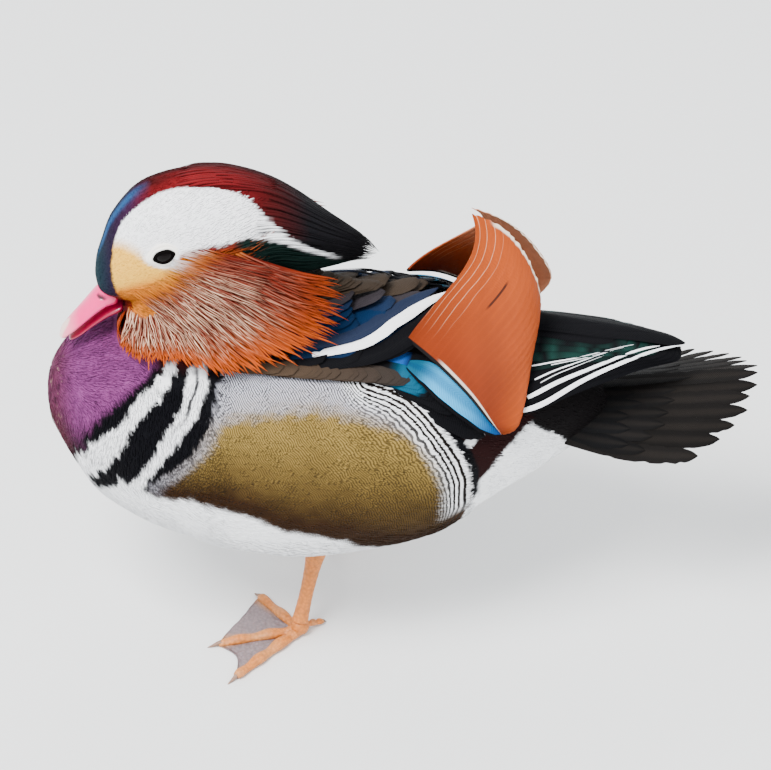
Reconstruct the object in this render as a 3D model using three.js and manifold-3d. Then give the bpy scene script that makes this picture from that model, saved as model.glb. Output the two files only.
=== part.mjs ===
// Drake mandarin duck, life size, standing hunched with its head turned a little to its left.
// Millimetres, +Z up. The bird faces -X, its left side faces -Y, and both soles stand on z = 0.
import * as THREE from 'three';
import { mergeVertices } from 'three/addons/utils/BufferGeometryUtils.js';
import Module from 'manifold-3d';

const wasm = await Module();
wasm.setup();

// Driving sizes
const GAP = 0.3;
const FINEST = 0.05;
const HEAD_YAW = THREE.MathUtils.degToRad(7);
const HEAD_PIVOT_X = -85;
const RING = 28;
const HEAD_RING = 24;
const NECK_RING = 16;
const CREST_RING = 14;
const BILL_RING = 12;

// Stations of the torso: x, height of the widest line, half width, height above it, depth below it
const TORSO = [
  [-168.4, 124, 0, 0, 0],
  [-167, 123.5, 12, 11, 13],
  [-163, 123, 21, 20, 22],
  [-155, 121, 33, 32, 34],
  [-143, 117, 46, 44, 45.5],
  [-120, 112, 57, 54, 55],
  [-96, 109, 62, 61, 61],
  [-72, 107, 64.5, 64, 64],
  [-48, 106, 65, 65, 66.5],
  [-15, 108, 63, 63, 64.5],
  [12, 110.7, 58, 57.5, 60.5],
  [26, 113.3, 53, 52, 56],
  [34, 114.5, 49.5, 48.5, 52],
  [46, 116, 44, 42, 45],
  [66, 118, 34, 29, 34],
  [86, 119, 21, 15, 21],
  [97, 119, 11, 7, 9],
  [102, 119, 0, 0, 0],
];
// Stations of the head before it turns: the same five numbers
const HEAD = [
  [-143.6, 196, 0, 0, 0],
  [-142.2, 197, 8, 9, 8],
  [-139, 199, 13, 17, 13],
  [-134, 204, 17, 25, 20],
  [-123, 210, 21.5, 32.5, 28],
  [-111, 214, 24, 34, 34],
  [-97, 216, 25, 34, 36],
  [-80, 218, 23, 30.5, 34],
  [-66, 219, 18.5, 26, 27],
  [-56, 218, 12, 20, 18],
  [-51, 217, 0, 0, 0],
];
// Stations of the neck, bottom to top: height, x of its middle, half length, half width
const NECK = [
  [120, -96, 36, 34],
  [150, -98, 38, 36],
  [166, -98, 37, 34],
  [180, -98, 34, 30],
  [192, -99, 31, 26],
  [210, -100, 26, 20],
];
// Stations of the crest, from inside the head to its tip: x, height, half width, above, below
const CREST = [
  [-84, 219, 0, 0, 0],
  [-80, 219, 18, 22, 20],
  [-62, 220, 18, 21.8, 25],
  [-48, 216.5, 15.5, 15.6, 25],
  [-35, 209.5, 11, 11.6, 17],
  [-23, 203, 6.5, 8.5, 9],
  [-15, 199, 3.4, 5, 5.5],
  [-10, 196.5, 0, 0, 0],
];

// Smooth stations: each pair of rows gets more rows between them on a Catmull-Rom curve
function smoothRows(rows, perSpan) {
  const out = [];
  const last = rows.length - 1;
  for (let i = 0; i < last; i += 1) {
    const around = [rows[Math.max(i - 1, 0)], rows[i], rows[i + 1], rows[Math.min(i + 2, last)]];
    for (let k = 0; k < perSpan; k += 1) {
      const t = k / perSpan;
      out.push(rows[i].map((_, c) => catmull(around.map((row) => row[c]), t)));
    }
  }
  out.push([...rows[last]]);
  return out;
}

function catmull([a, b, c, d], t) {
  const t2 = t * t;
  const t3 = t2 * t;
  return 0.5 * (2 * b + (c - a) * t + (2 * a - 5 * b + 4 * c - d) * t2 + (3 * b - a - 3 * c + d) * t3);
}

// The row at any place along the first column
function rowAt(rows, where) {
  let i = 0;
  while (i < rows.length - 2 && rows[i + 1][0] < where) i += 1;
  const [from, to] = [rows[i], rows[i + 1]];
  const t = THREE.MathUtils.clamp((where - from[0]) / (to[0] - from[0]), 0, 1);
  return from.map((value, c) => value + (to[c] - value) * t);
}

// The same stations, larger all round by one depth
function grown(rows, depth) {
  const first = rows[0][0];
  const last = rows[rows.length - 1][0];
  const middle = (first + last) / 2;
  const stretch = 1 + (2 * depth) / (last - first);
  return rows.map(([x, z, ...sizes]) => [
    middle + (x - middle) * stretch,
    z,
    ...sizes.map((size) => (size > 0 ? size + depth : 0)),
  ]);
}

// Solids from points

// A geometry with its points alone
function bare(geometry) {
  geometry.deleteAttribute('normal');
  geometry.deleteAttribute('uv');
  return geometry;
}

// An egg shape from its middle and its three radii
function egg([x, y, z], radii, columns, rows) {
  return bare(new THREE.SphereGeometry(1, columns, rows)).scale(...radii).translate(x, y, z);
}

// A closed geometry from triangles over a list of points
function geometryFrom(points, triangles) {
  const geometry = new THREE.BufferGeometry().setFromPoints(points);
  geometry.setIndex(triangles);
  return geometry;
}

// A solid from a closed geometry, faces turned outwards
function solid(geometry) {
  const merged = mergeVertices(geometry, 1e-4);
  const triangles = new Uint32Array(merged.index.array);
  const mesh = () => new wasm.Mesh({
    numProp: 3,
    vertProperties: merged.attributes.position.array,
    triVerts: triangles,
  });
  const made = new wasm.Manifold(mesh());
  if (made.volume() > 0) return made;
  for (let i = 0; i < triangles.length; i += 3) {
    [triangles[i + 1], triangles[i + 2]] = [triangles[i + 2], triangles[i + 1]];
  }
  return new wasm.Manifold(mesh());
}

// Rings of points joined into a tube, closed by a point or a fan at each end
function loft(rings, startPoint = null, endPoint = null) {
  const count = rings[0].length;
  const points = rings.flat();
  const triangles = [];
  for (let r = 0; r < rings.length - 1; r += 1) {
    for (let k = 0; k < count; k += 1) {
      const a = r * count + k;
      const b = r * count + ((k + 1) % count);
      triangles.push(a, b, b + count, a, b + count, a + count);
    }
  }
  const capEnd = (ring, point, flip) => {
    const base = ring * count;
    const sum = rings[ring].reduce((total, p) => total.add(p), new THREE.Vector3());
    const middle = point ?? sum.divideScalar(count);
    points.push(middle);
    for (let k = 0; k < count; k += 1) {
      const a = base + k;
      const b = base + ((k + 1) % count);
      triangles.push(...(flip ? [points.length - 1, b, a] : [points.length - 1, a, b]));
    }
  };
  capEnd(0, startPoint, true);
  capEnd(rings.length - 1, endPoint, false);
  return geometryFrom(points, triangles);
}

// A body of oval sections along x, with its first and last stations as points
function ovalBody(rows, segments, shape = (x, angle) => 0) {
  const rings = rows.slice(1, -1).map(([x, z, half, above, below]) => {
    const ring = [];
    for (let k = 0; k < segments; k += 1) {
      const angle = (k / segments) * Math.PI * 2;
      const swell = shape(x, angle);
      const rise = Math.sin(angle) > 0 ? above : below;
      const [aside, up] = [(half + swell) * Math.cos(angle), (rise + swell) * Math.sin(angle)];
      ring.push(new THREE.Vector3(x, -aside, z + up));
    }
    return ring;
  });
  const [first, last] = [rows[0], rows[rows.length - 1]];
  return loft(rings, new THREE.Vector3(first[0], 0, first[1]), new THREE.Vector3(last[0], 0, last[1]));
}

// A closed sheet between two surfaces of u and v, each from 0 to 1
function sheet(outer, inner, columns, rows) {
  const points = [];
  const triangles = [];
  const at = (layer, i, j) => layer * (columns + 1) * (rows + 1) + i * (rows + 1) + j;
  for (const surface of [outer, inner]) {
    for (let i = 0; i <= columns; i += 1) {
      for (let j = 0; j <= rows; j += 1) points.push(surface(i / columns, j / rows));
    }
  }
  for (let i = 0; i < columns; i += 1) {
    for (let j = 0; j < rows; j += 1) {
      for (const layer of [0, 1]) {
        const quad = [at(layer, i, j), at(layer, i + 1, j), at(layer, i + 1, j + 1), at(layer, i, j + 1)];
        const faces = [quad[0], quad[1], quad[2], quad[0], quad[2], quad[3]];
        triangles.push(...(layer === 0 ? faces : faces.reverse()));
      }
    }
  }
  const rim = [];
  for (let i = 0; i < columns; i += 1) rim.push([i, 0]);
  for (let j = 0; j < rows; j += 1) rim.push([columns, j]);
  for (let i = columns; i > 0; i -= 1) rim.push([i, rows]);
  for (let j = rows; j > 0; j -= 1) rim.push([0, j]);
  rim.forEach(([i, j], k) => {
    const [ni, nj] = rim[(k + 1) % rim.length];
    triangles.push(at(0, i, j), at(1, i, j), at(1, ni, nj), at(0, i, j), at(1, ni, nj), at(0, ni, nj));
  });
  return geometryFrom(points, triangles);
}

// A round limb along a path of points, with a radius and a flattening at each
function limb(path, sides) {
  const centres = path.map(([x, y, z]) => new THREE.Vector3(x, y, z));
  const rings = path.map(([, , , radius, flat = 1], i) => {
    const next = centres[Math.min(i + 1, path.length - 1)];
    const along = next.clone().sub(centres[Math.max(i - 1, 0)]).normalize();
    const across = new THREE.Vector3(0, 0, 1).cross(along);
    if (across.length() < 0.2) across.set(0, 1, 0);
    across.normalize();
    const up = along.clone().cross(across).normalize();
    const ring = [];
    for (let k = 0; k < sides; k += 1) {
      const angle = (k / sides) * Math.PI * 2;
      ring.push(centres[i].clone()
        .addScaledVector(across, Math.cos(angle) * radius)
        .addScaledVector(up, Math.sin(angle) * radius * flat));
    }
    return ring;
  });
  return loft(rings);
}

// One feather as a thin blade of lens section. Its track is a list of stations on a surface, [a, b, lift];
// outwards tells which side of the surface is out, and shape lists places along the track, 0 to 1, each
// with the width there, 1 at the widest
function feather(surface, outwards, track, { width, thick, shape, tilt = 0 }) {
  const steps = shape.length - 1;
  const dense = smoothRows(track, 6);
  const stations = shape.map(([place]) => rowsAt(dense, place * (dense.length - 1)));
  const centres = stations.map(([a, b]) => surface(a, b));
  const normals = stations.map(([a, b], i) => {
    const step = 0.01;
    const alongA = surface(a + step, b).sub(centres[i]);
    const alongB = surface(a, b + step).sub(centres[i]);
    const normal = alongA.cross(alongB).normalize();
    return normal.dot(outwards(centres[i])) < 0 ? normal.negate() : normal;
  });
  const points = centres.map((centre, i) => centre.clone().addScaledVector(normals[i], stations[i][2]));
  const rings = points.map((point, i) => {
    const run = points[Math.min(i + 1, steps)].clone().sub(points[Math.max(i - 1, 0)]).normalize();
    const across = normals[i].clone().cross(run).normalize();
    across.applyAxisAngle(run, THREE.MathUtils.degToRad(tilt));
    const up = run.clone().cross(across).normalize();
    const half = (width * shape[i][1]) / 2;
    const depth = (thick / 2) * Math.min(1, 0.45 + shape[i][1]);
    return [[half, 0], [0, depth], [-half, 0], [0, -depth]].map(([w, d]) =>
      point.clone().addScaledVector(across, w).addScaledVector(up, d));
  });
  return solid(blade(rings));
}

// Rings of edge, top, edge, bottom joined with every diagonal from an edge to a middle, alike on both faces
function blade(rings) {
  const triangles = [];
  const last = rings.length - 1;
  for (let r = 0; r < last; r += 1) {
    const [near, far] = [r * 4, r * 4 + 4];
    for (const edge of [0, 2]) {
      for (const [middle, flip] of [[1, edge === 0], [3, edge === 2]]) {
        const faces = [
          [near + edge, near + middle, far + middle],
          [near + edge, far + middle, far + edge],
        ];
        for (const face of faces) triangles.push(...(flip ? face : face.reverse()));
      }
    }
  }
  triangles.push(0, 2, 1, 0, 3, 2);
  const end = last * 4;
  triangles.push(end, end + 1, end + 2, end, end + 2, end + 3);
  return geometryFrom(rings.flat(), triangles);
}

// The row at any place along a list of rows, counted in rows
function rowsAt(rows, place) {
  const i = Math.min(Math.floor(place), rows.length - 2);
  return rows[i].map((value, c) => value + (rows[i + 1][c] - value) * (place - i));
}

const ROUNDED = [[0, 0.6], [0.45, 1], [0.86, 0.84], [1, 0.2]];
const POINTED = [[0, 0.5], [0.3, 0.8], [0.55, 1], [0.8, 0.8], [1, 0.1]];
const LONG = [[0, 0.8], [0.4, 1], [0.88, 0.8], [1, 0.14]];
const HACKLE = [[0, 0.4], [0.45, 1], [0.82, 0.78], [1, 0.1]];

// Seeded draw between -1 and 1
let seed = 20261;
function draw() {
  seed = (seed * 1103515245 + 12345) % 2147483648;
  return seed / 1073741824 - 1;
}

const union = (pieces) => wasm.Manifold.union(pieces);

// The largest closed surface of a solid, with its finest slivers merged. This drops scraps and fills
// sealed hollows.
function largest(made) {
  return made.simplify(FINEST).decompose().reduce((best, one) => (one.volume() > best.volume() ? one : best));
}

// Mirror a list of solids in the plane y = 0, where the right side wants it
const sided = (pieces, left) => (left ? pieces : pieces.map((piece) => piece.mirror([0, 1, 0])));

// Turn a geometry of the head with the head
function turned(geometry) {
  const copy = geometry.clone();
  copy.applyMatrix4(new THREE.Matrix4().makeTranslation(-HEAD_PIVOT_X, 0, 0));
  copy.applyMatrix4(new THREE.Matrix4().makeRotationZ(HEAD_YAW));
  copy.applyMatrix4(new THREE.Matrix4().makeTranslation(HEAD_PIVOT_X, 0, 0));
  return copy;
}

// Turn a solid of the head with the head
function turnedSolid(made) {
  return made
    .translate([-HEAD_PIVOT_X, 0, 0])
    .rotate([0, 0, THREE.MathUtils.radToDeg(HEAD_YAW)])
    .translate([HEAD_PIVOT_X, 0, 0]);
}

// The torso and its flanks

const torsoRows = smoothRows(TORSO, 2);
// Upper edge of the long flank feathers: x and the angle above the side line, in degrees
const FLANK_TOP = [[-120, 66], [-92, 61], [-80, 56], [-6, 54], [10, 45], [20, 34], [29, 18], [38, -4]];
const FLANK_SWELL = 3;
const FLANK_FRONT = -108;
const FLANK_FOOT = -50;
const FLANK_REAR = 25;

const stepUp = THREE.MathUtils.smoothstep;

// How far the flank feathers stand out over the wing and the rump
function flankSwell(x, angle) {
  const degrees = THREE.MathUtils.radToDeg(angle);
  const side = degrees > 270 ? degrees - 360 : degrees > 90 ? 180 - degrees : degrees;
  const [, edge] = rowAt(FLANK_TOP, x);
  const past = stepUp(edge - side, -3, 13);
  const front = stepUp(x, FLANK_FRONT, FLANK_FRONT + 22);
  const foot = stepUp(side, FLANK_FOOT - 25, FLANK_FOOT + 20);
  const rear = 1 - stepUp(x, FLANK_REAR, FLANK_REAR + 13);
  return FLANK_SWELL * past * front * foot * rear;
}

function torsoShape(depth) {
  return solid(ovalBody(grown(torsoRows, depth), RING, flankSwell));
}

// The body without its flank feathers: what lies over the back rests on this shape, grown
function backShape(depth) {
  return solid(ovalBody(grown(torsoRows, depth), RING));
}

const torso = torsoShape(0);
const torsoCut = torsoShape(GAP);

// A point over the back, from the place along the body, the angle above the side line and the lift
function overBody(x, degrees, lift) {
  const angle = THREE.MathUtils.degToRad(degrees);
  const [, z, half, above, below] = rowAt(torsoRows, x);
  const rise = degrees > 0 ? above : below;
  return new THREE.Vector3(x, -(half + lift) * Math.cos(angle), z + (rise + lift) * Math.sin(angle));
}

// The head, its eyes and its bill

const headRows = smoothRows(HEAD, 2);
const EYE = { x: -112.5, y: -19.6, z: 220.3, radius: 5.4 };
// The rim of the lids round the opening: its middle radius, its stretch along the head, its roll
const LIDS = { y: -22.7, radius: 4.5, stretch: 1.22, roll: 1.05, turn: 6 };

function headShape(depth) {
  return solid(turned(ovalBody(grown(headRows, depth), HEAD_RING)));
}

function eyeBall(side, depth) {
  const ball = new THREE.SphereGeometry(EYE.radius + depth, 12, 8);
  return solid(turned(bare(ball).translate(EYE.x, side * EYE.y, EYE.z)));
}

function lids(side) {
  const rim = bare(new THREE.TorusGeometry(LIDS.radius, LIDS.roll, 4, 12));
  rim.rotateX(Math.PI / 2).scale(LIDS.stretch, 1, 1).rotateZ(-side * THREE.MathUtils.degToRad(LIDS.turn));
  return solid(turned(rim.translate(EYE.x, side * LIDS.y, EYE.z)));
}

const headCut = headShape(GAP);
const sockets = union([eyeBall(1, GAP), eyeBall(-1, GAP)]);
const head = largest(union([headShape(0), lids(1), lids(-1)]).subtract(sockets));

// Stations of the upper bill from its root to its tip: x, height of its middle, half width, above, below
const BILL = [
  [-133, 186, 0, 0, 0],
  [-134, 186, 7.5, 6, 5],
  [-139, 183.5, 7.6, 8.5, 4],
  [-144, 179.5, 7.2, 6.8, 3.6],
  [-150, 173.5, 6.6, 5, 3.2],
  [-156, 167.5, 5.6, 3.8, 2.8],
  [-160, 163.5, 3.8, 2.6, 2.6],
  [-161.6, 161.5, 0, 0, 0],
];
const LOWER_BILL = [
  [-131, 179, 0, 0, 0],
  [-132, 179, 6, 2, 3],
  [-139, 175.6, 6.2, 1.8, 3],
  [-146, 170.2, 5.6, 1.6, 2.6],
  [-152, 164.6, 4.6, 1.4, 2],
  [-156, 161, 2.6, 1, 1.2],
  [-157.2, 160, 0, 0, 0],
];
const NOSTRIL = { middle: [-141, -6.2, 186.6], radii: [2.4, 1.3, 1.2] };
const NAIL = { middle: [-159.6, 0, 164.2], radii: [2.8, 2.5, 1.9] };

function nostril(side) {
  const [x, y, z] = NOSTRIL.middle;
  return solid(turned(egg([x, side * y, z], NOSTRIL.radii, 6, 4)));
}

const upperShape = (depth) => solid(turned(ovalBody(grown(smoothRows(BILL, 2), depth), BILL_RING)));
const nail = solid(turned(egg(NAIL.middle, NAIL.radii, 6, 4)));
const upperCut = union([upperShape(GAP), nail]);
const nostrils = union([nostril(1), nostril(-1)]);
const bill = largest(union([upperShape(0), nail]).subtract(headCut).subtract(nostrils));

// The neck, between head and torso

function neckShape(depth) {
  const rows = smoothRows(NECK, 1);
  const rings = rows.map(([z, x, length, width]) => {
    const ring = [];
    for (let k = 0; k < NECK_RING; k += 1) {
      const angle = (k / NECK_RING) * Math.PI * 2;
      const [along, aside] = [(length + depth) * Math.cos(angle), (width + depth) * Math.sin(angle)];
      ring.push(new THREE.Vector3(x + along, aside, z));
    }
    return ring;
  });
  return solid(turned(loft(rings)));
}

const neckCut = neckShape(GAP);
const neck = largest(neckShape(0).subtract(torsoCut).subtract(headCut).subtract(upperCut));
const lowerBill = largest(solid(turned(ovalBody(smoothRows(LOWER_BILL, 2), BILL_RING)))
  .subtract(headCut).subtract(upperCut).subtract(neckCut).subtract(torsoCut));

// The wings over the back: one shell a side

const WING_LIFT = 7.5;
const WING_FRONT = -84;
const WING_REAR = 47;
const WING_RIDGE = 89.4;
// Lower edge of the folded wing: x and angle above the side line
const WING_FOOT = [[-84, 56], [-6, 50], [10, 36], [20, 24], [34, 14], [47, 16]];

// The core under the wing feathers, above and below the body's own surface
const WING_CORE = { lift: 3.4, root: -1.5 };

function wingCore() {
  const surface = (lift) => (u, v) => {
    const x = WING_FRONT + (WING_REAR - WING_FRONT) * u;
    const [, foot] = rowAt(WING_FOOT, x);
    const thick = lift < 0 ? lift : lift * (0.5 + 0.5 * Math.sin(Math.PI * Math.min(1, 0.1 + u)));
    return overBody(x, foot + (WING_RIDGE - foot) * v, thick);
  };
  return solid(sheet(surface(WING_CORE.lift), surface(WING_CORE.root), 9, 4));
}

// Feathers of the folded wing, in tiers from the front: how many, the places of the first and of the last as
// [x, angle above the side line] from root to tip, the rise of the tip and the width. Each comes out of the
// core under the tips of the tier before it.
const WING_TIERS = [
  {
    count: 3, rise: 4.4, width: 12,
    first: [[-80, 60], [-64, 58.5], [-46, 58]],
    last: [[-34, 57], [-18, 55], [0, 51.5]],
  },
  {
    count: 3, rise: 5.6, width: 18,
    first: [[-80, 83], [-60, 83], [-42, 83]],
    last: [[-74, 66], [-56, 65], [-36, 64]],
  },
  {
    count: 3, rise: 6.8, width: 18,
    first: [[-56, 83], [-34, 83], [-14, 83]],
    last: [[-52, 66], [-30, 65], [-9, 66]],
  },
  {
    count: 3, rise: 8.6, width: 15,
    first: [[-30, 82], [-8, 82], [10, 84]],
    last: [[-30, 68], [-10, 69], [9, 73]],
  },
  {
    count: 3, rise: 4.8, width: 14,
    first: [[-18, 62], [2, 59], [19, 55]],
    last: [[-14, 50], [4, 46], [19, 38]],
  },
  {
    count: 4, rise: 5, width: 13,
    first: [[0, 60], [22, 51], [44, 41]],
    last: [[0, 45], [20, 34], [42, 20]],
  },
];
const TIER_ROOT = 0.4;
const TIER_MIDDLE = 0.42;
const WING_VANE = { thick: 1, shape: ROUNDED, tilt: -8 };
const SHOULDER_VANE = { thick: 1.4, shape: POINTED };
// The two long shoulder feathers whose tips stand up before the sail: the white one and the black one. On the
// right they lie lower.
const SHOULDER_STAND = { left: 1, right: 0.45 };
const SHOULDER_BLADES = [
  { track: [[-40, 62, 3], [-16, 66, 6.4], [-3, 75, 9], [8, 80, 14], [16, 82, 20]], width: 9 },
  { track: [[-24, 60, 2], [-4, 64, 5.6], [7, 71, 9], [14, 76, 13.6], [20, 80, 19]], width: 11 },
];

const BODY_MIDDLE = 112;

function wingFeathers(stand) {
  const out = (point) => new THREE.Vector3(0, point.y, point.z - BODY_MIDDLE);
  const surface = (x, degrees) => overBody(x, degrees, 0);
  const pieces = [];
  for (const { count, first, last, rise, width } of WING_TIERS) {
    const lifts = [TIER_ROOT, rise * TIER_MIDDLE, rise];
    for (let i = 0; i < count; i += 1) {
      const share = i / (count - 1);
      const reach = draw() * 1.5;
      const track = first.map(([x, degrees], k) =>
        [x + (last[k][0] - x) * share + reach, degrees + (last[k][1] - degrees) * share, lifts[k]]);
      pieces.push(feather(surface, out, track, { width, ...WING_VANE }));
    }
  }
  for (const { track, width } of SHOULDER_BLADES) {
    const raised = track.map(([x, degrees, lift]) => [x, degrees, lift * stand]);
    pieces.push(feather(surface, out, raised, { width, ...SHOULDER_VANE }));
  }
  return pieces;
}

// The folded flight feathers: eave and ridge of each side's long wing tip
const PRIMARY_EAVE = [
  [30, -46, 137], [55, -42, 141], [73, -34, 146.5], [92, -25, 149.5], [111, -15, 151],
  [126, -7, 150.5], [133.5, -2.5, 149],
];
const PRIMARY_RIDGE = [
  [30, -3, 166], [55, -1.5, 165], [73, -1.2, 163], [92, -1.2, 160], [111, -1.2, 156.5],
  [126, -1.2, 152.5], [133.5, -1.2, 149.8],
];
const PRIMARIES = {
  count: 6, width: 15, thick: 0.9, step: 0.085, stack: 1, tilt: -3, core: 0.45, coreThick: 2.6,
};
const primaryEave = smoothRows(PRIMARY_EAVE, 4);
const primaryRidge = smoothRows(PRIMARY_RIDGE, 4);

// A point of the folded wing tip: along 0 to 1, up 0 at the eave to 1 at the ridge
function primaryPoint(along, up) {
  const place = THREE.MathUtils.clamp(along, 0, 1) * (primaryEave.length - 1);
  const eave = new THREE.Vector3(...rowsAt(primaryEave, place));
  const ridge = new THREE.Vector3(...rowsAt(primaryRidge, place));
  const point = eave.lerp(ridge, up);
  point.z += Math.sin(Math.PI * THREE.MathUtils.clamp(up, 0, 1)) * 3 * (1 - along);
  return point;
}

function primaryFeathers() {
  const { count, width, thick, step, stack, tilt, core, coreThick } = PRIMARIES;
  const out = () => new THREE.Vector3(0, -0.4, 1);
  const pieces = [];
  for (let i = 0; i < count; i += 1) {
    const tip = 0.985 - step * i;
    const edge = 0.16 + 0.135 * i;
    const lift = stack * (i - count + 1);
    const track = [
      [0, edge, lift],
      [tip * 0.35, edge + 0.02, lift],
      [tip * 0.7, edge * 0.8 + 0.12, lift * 0.9],
      [tip, edge * 0.6 + 0.22, lift * 0.8],
    ];
    const slim = width * (i === 0 ? 0.85 : 1);
    pieces.push(feather(primaryPoint, out, track, { width: slim, thick, shape: LONG, tilt }));
  }
  const under = (depth) => (u, v) => {
    const point = primaryPoint(u * core, 0.08 + 0.9 * v);
    point.z -= depth;
    return point;
  };
  pieces.push(solid(sheet(under(1.2), under(1.2 + coreThick), 4, 3)));
  return pieces;
}

// Nothing of one wing crosses the midline
const HALF_SPACE = solid(bare(new THREE.BoxGeometry(400, 200, 400)).translate(0, 100 - GAP / 2, 100));

function wing(left) {
  const stand = left ? SHOULDER_STAND.left : SHOULDER_STAND.right;
  const whole = union([wingCore(), ...wingFeathers(stand), ...primaryFeathers()]).subtract(HALF_SPACE);
  const [made] = sided([whole], left);
  return largest(made.subtract(torsoCut).subtract(neckCut).subtract(headCut));
}

// Everything that lies over the wing stays clear of this shape
const wingCover = backShape(WING_LIFT + GAP);

const wingLeft = wing(true);
const wingRight = wing(false);

// The sails: one broad inner feather a side, its shaft low along the wing and its web standing up
const SAIL_SHAFT = [[2, 67], [16, 56], [30, 42], [40, 29], [46, 21.5]];
// The free edge of each web, given as on the left, and how far its front edge bows back. The right one
// stands a little further back.
const SAILS = {
  left: {
    bow: 8.5,
    edge: [
      [31.8, -2.5, 227.6], [47, -4, 220], [59, -7, 203], [64.3, -9.3, 182.5], [60.7, -20, 161.4],
      [54.6, -43, 137.9], [47, -49.6, 134.4],
    ],
  },
  right: {
    bow: 13,
    edge: [
      [31.8, -2.5, 227], [47, -4, 219], [60.5, -7, 203], [69.6, -9.3, 182.5], [62.5, -20, 161.4],
      [54.6, -43, 137.9], [47, -49.6, 134.4],
    ],
  },
};
const SAIL_LIFT = WING_LIFT + 1.2;
const SAIL_HOLLOW = 4;

function sailPlain(sizes) {
  const shaft = new THREE.CatmullRomCurve3(SAIL_SHAFT.map(([x, degrees]) => overBody(x, degrees, SAIL_LIFT)));
  const edge = new THREE.CatmullRomCurve3(sizes.edge.map((p) => new THREE.Vector3(...p)));
  const surface = (push) => (u, v) => {
    const root = shaft.getPoint(u);
    const tip = edge.getPoint(u);
    const point = root.clone().lerp(tip, v);
    point.x += sizes.bow * Math.sin(Math.PI * v ** 1.8) * (1 - u) ** 0.7;
    point.y -= Math.sin(Math.PI * v) * SAIL_HOLLOW * (1 - u) - push;
    return point;
  };
  return sheet(surface(-0.6), surface(0.6), 11, 6);
}

const wingClear = union([wingLeft, wingRight]);
const sail = (left) => largest(sided([solid(sailPlain(left ? SAILS.left : SAILS.right))], left)[0]
  .subtract(wingCover).subtract(wingClear));

// The crest: a short core and silky vanes in three tiers that draw together at the tip
const CREST_CORE_END = -40;
const CREST_TIERS = [
  { count: 9, from: -62, to: -12, spread: 5, lift: -0.6, width: 13 },
  { count: 9, from: -74, to: -36, spread: 4, lift: 1.4, width: 15 },
];
const CREST_LOWEST = -62;
const CREST_VANE = { thick: 0.9, shape: [[0, 0.8], [0.4, 1], [0.8, 0.66], [1, 0.12]], tilt: 14 };
const crestRows = smoothRows(CREST, 2);

function overCrest(x, degrees) {
  const angle = THREE.MathUtils.degToRad(degrees);
  const [, z, half, above, below] = rowAt(crestRows, x);
  const rise = Math.sin(angle) > 0 ? above : below;
  return new THREE.Vector3(x, -half * Math.cos(angle), z + rise * Math.sin(angle));
}

function crestCore() {
  const rows = crestRows.filter(([x]) => x < CREST_CORE_END).map(([x, z, ...sizes]) =>
    [x, z, ...sizes.map((size) => size * (0.9 - 0.3 * stepUp(x, -62, CREST_CORE_END)))]);
  const [, z] = rowAt(crestRows, CREST_CORE_END + 4);
  return solid(ovalBody([...rows, [CREST_CORE_END + 4, z, 0, 0, 0]], CREST_RING));
}

function crestFeathers() {
  const pieces = [];
  const out = (point) => new THREE.Vector3(0, point.y, point.z - rowAt(crestRows, point.x)[1]);
  for (const { count, from, to, spread, lift, width } of CREST_TIERS) {
    for (let i = 0; i < count; i += 1) {
      const degrees = CREST_LOWEST + ((180 - 2 * CREST_LOWEST) * i) / (count - 1);
      const end = to + draw() * spread - Math.abs(degrees - 90) * 0.05;
      const track = [
        [from, degrees, -3.5],
        [from + (end - from) * 0.33, degrees, lift],
        [end, degrees + draw() * 3, lift * 0.6],
      ];
      const narrow = width * (to > -20 ? 0.85 : 1);
      pieces.push(feather(overCrest, out, track, { width: narrow, ...CREST_VANE }));
    }
  }
  return pieces;
}

const crestCut = solid(turned(ovalBody(grown(crestRows, GAP + 1.6), CREST_RING)));
const crest = largest(turnedSolid(union([crestCore(), ...crestFeathers()]))
  .subtract(headCut).subtract(neckCut).subtract(wingCover));

// The ruff: a fan of hackles a side, from the cheek back and down over the neck
const RUFF_ROOT = [
  [-79, -21, 219], [-88, -22.5, 213], [-97, -22, 207], [-106, -21, 199], [-114, -19, 191],
  [-121, -15, 184], [-128, -9, 181],
];
const RUFF_TIP = [
  [-35, -30, 206], [-33, -34, 190], [-43, -40, 177], [-62, -42.5, 169], [-86, -43, 164.5],
  [-108, -37, 169], [-124, -28, 166], [-134, -18, 168],
];
const RUFF_BOW = 3.6;
const RUFF_MIDDLE = new THREE.Vector3(-92, 18, 186);
const RUFF_TIERS = [
  { count: 12, from: 0.22, to: 1, middle: 0.4, lift: 2, width: 12 },
  { count: 9, from: 0.04, to: 0.66, middle: 0.4, lift: 3.6, width: 11.5 },
];
const RUFF_VANE = { thick: 1, shape: HACKLE, tilt: 7 };
const RUFF_CORE = 0.5;
const ruffRoot = new THREE.CatmullRomCurve3(RUFF_ROOT.map((p) => new THREE.Vector3(...p)));
const ruffTip = new THREE.CatmullRomCurve3(RUFF_TIP.map((p) => new THREE.Vector3(...p)));

// A point of the ruff: round 0 at its upper edge to 1 at the throat, along 0 at the cheek to 1 at the tips
function ruffPoint(round, along) {
  const place = THREE.MathUtils.clamp(round, 0, 1);
  const point = ruffRoot.getPoint(place).lerp(ruffTip.getPoint(place), along);
  point.y -= Math.sin(Math.PI * Math.min(1, along)) * RUFF_BOW;
  return point;
}

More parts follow.
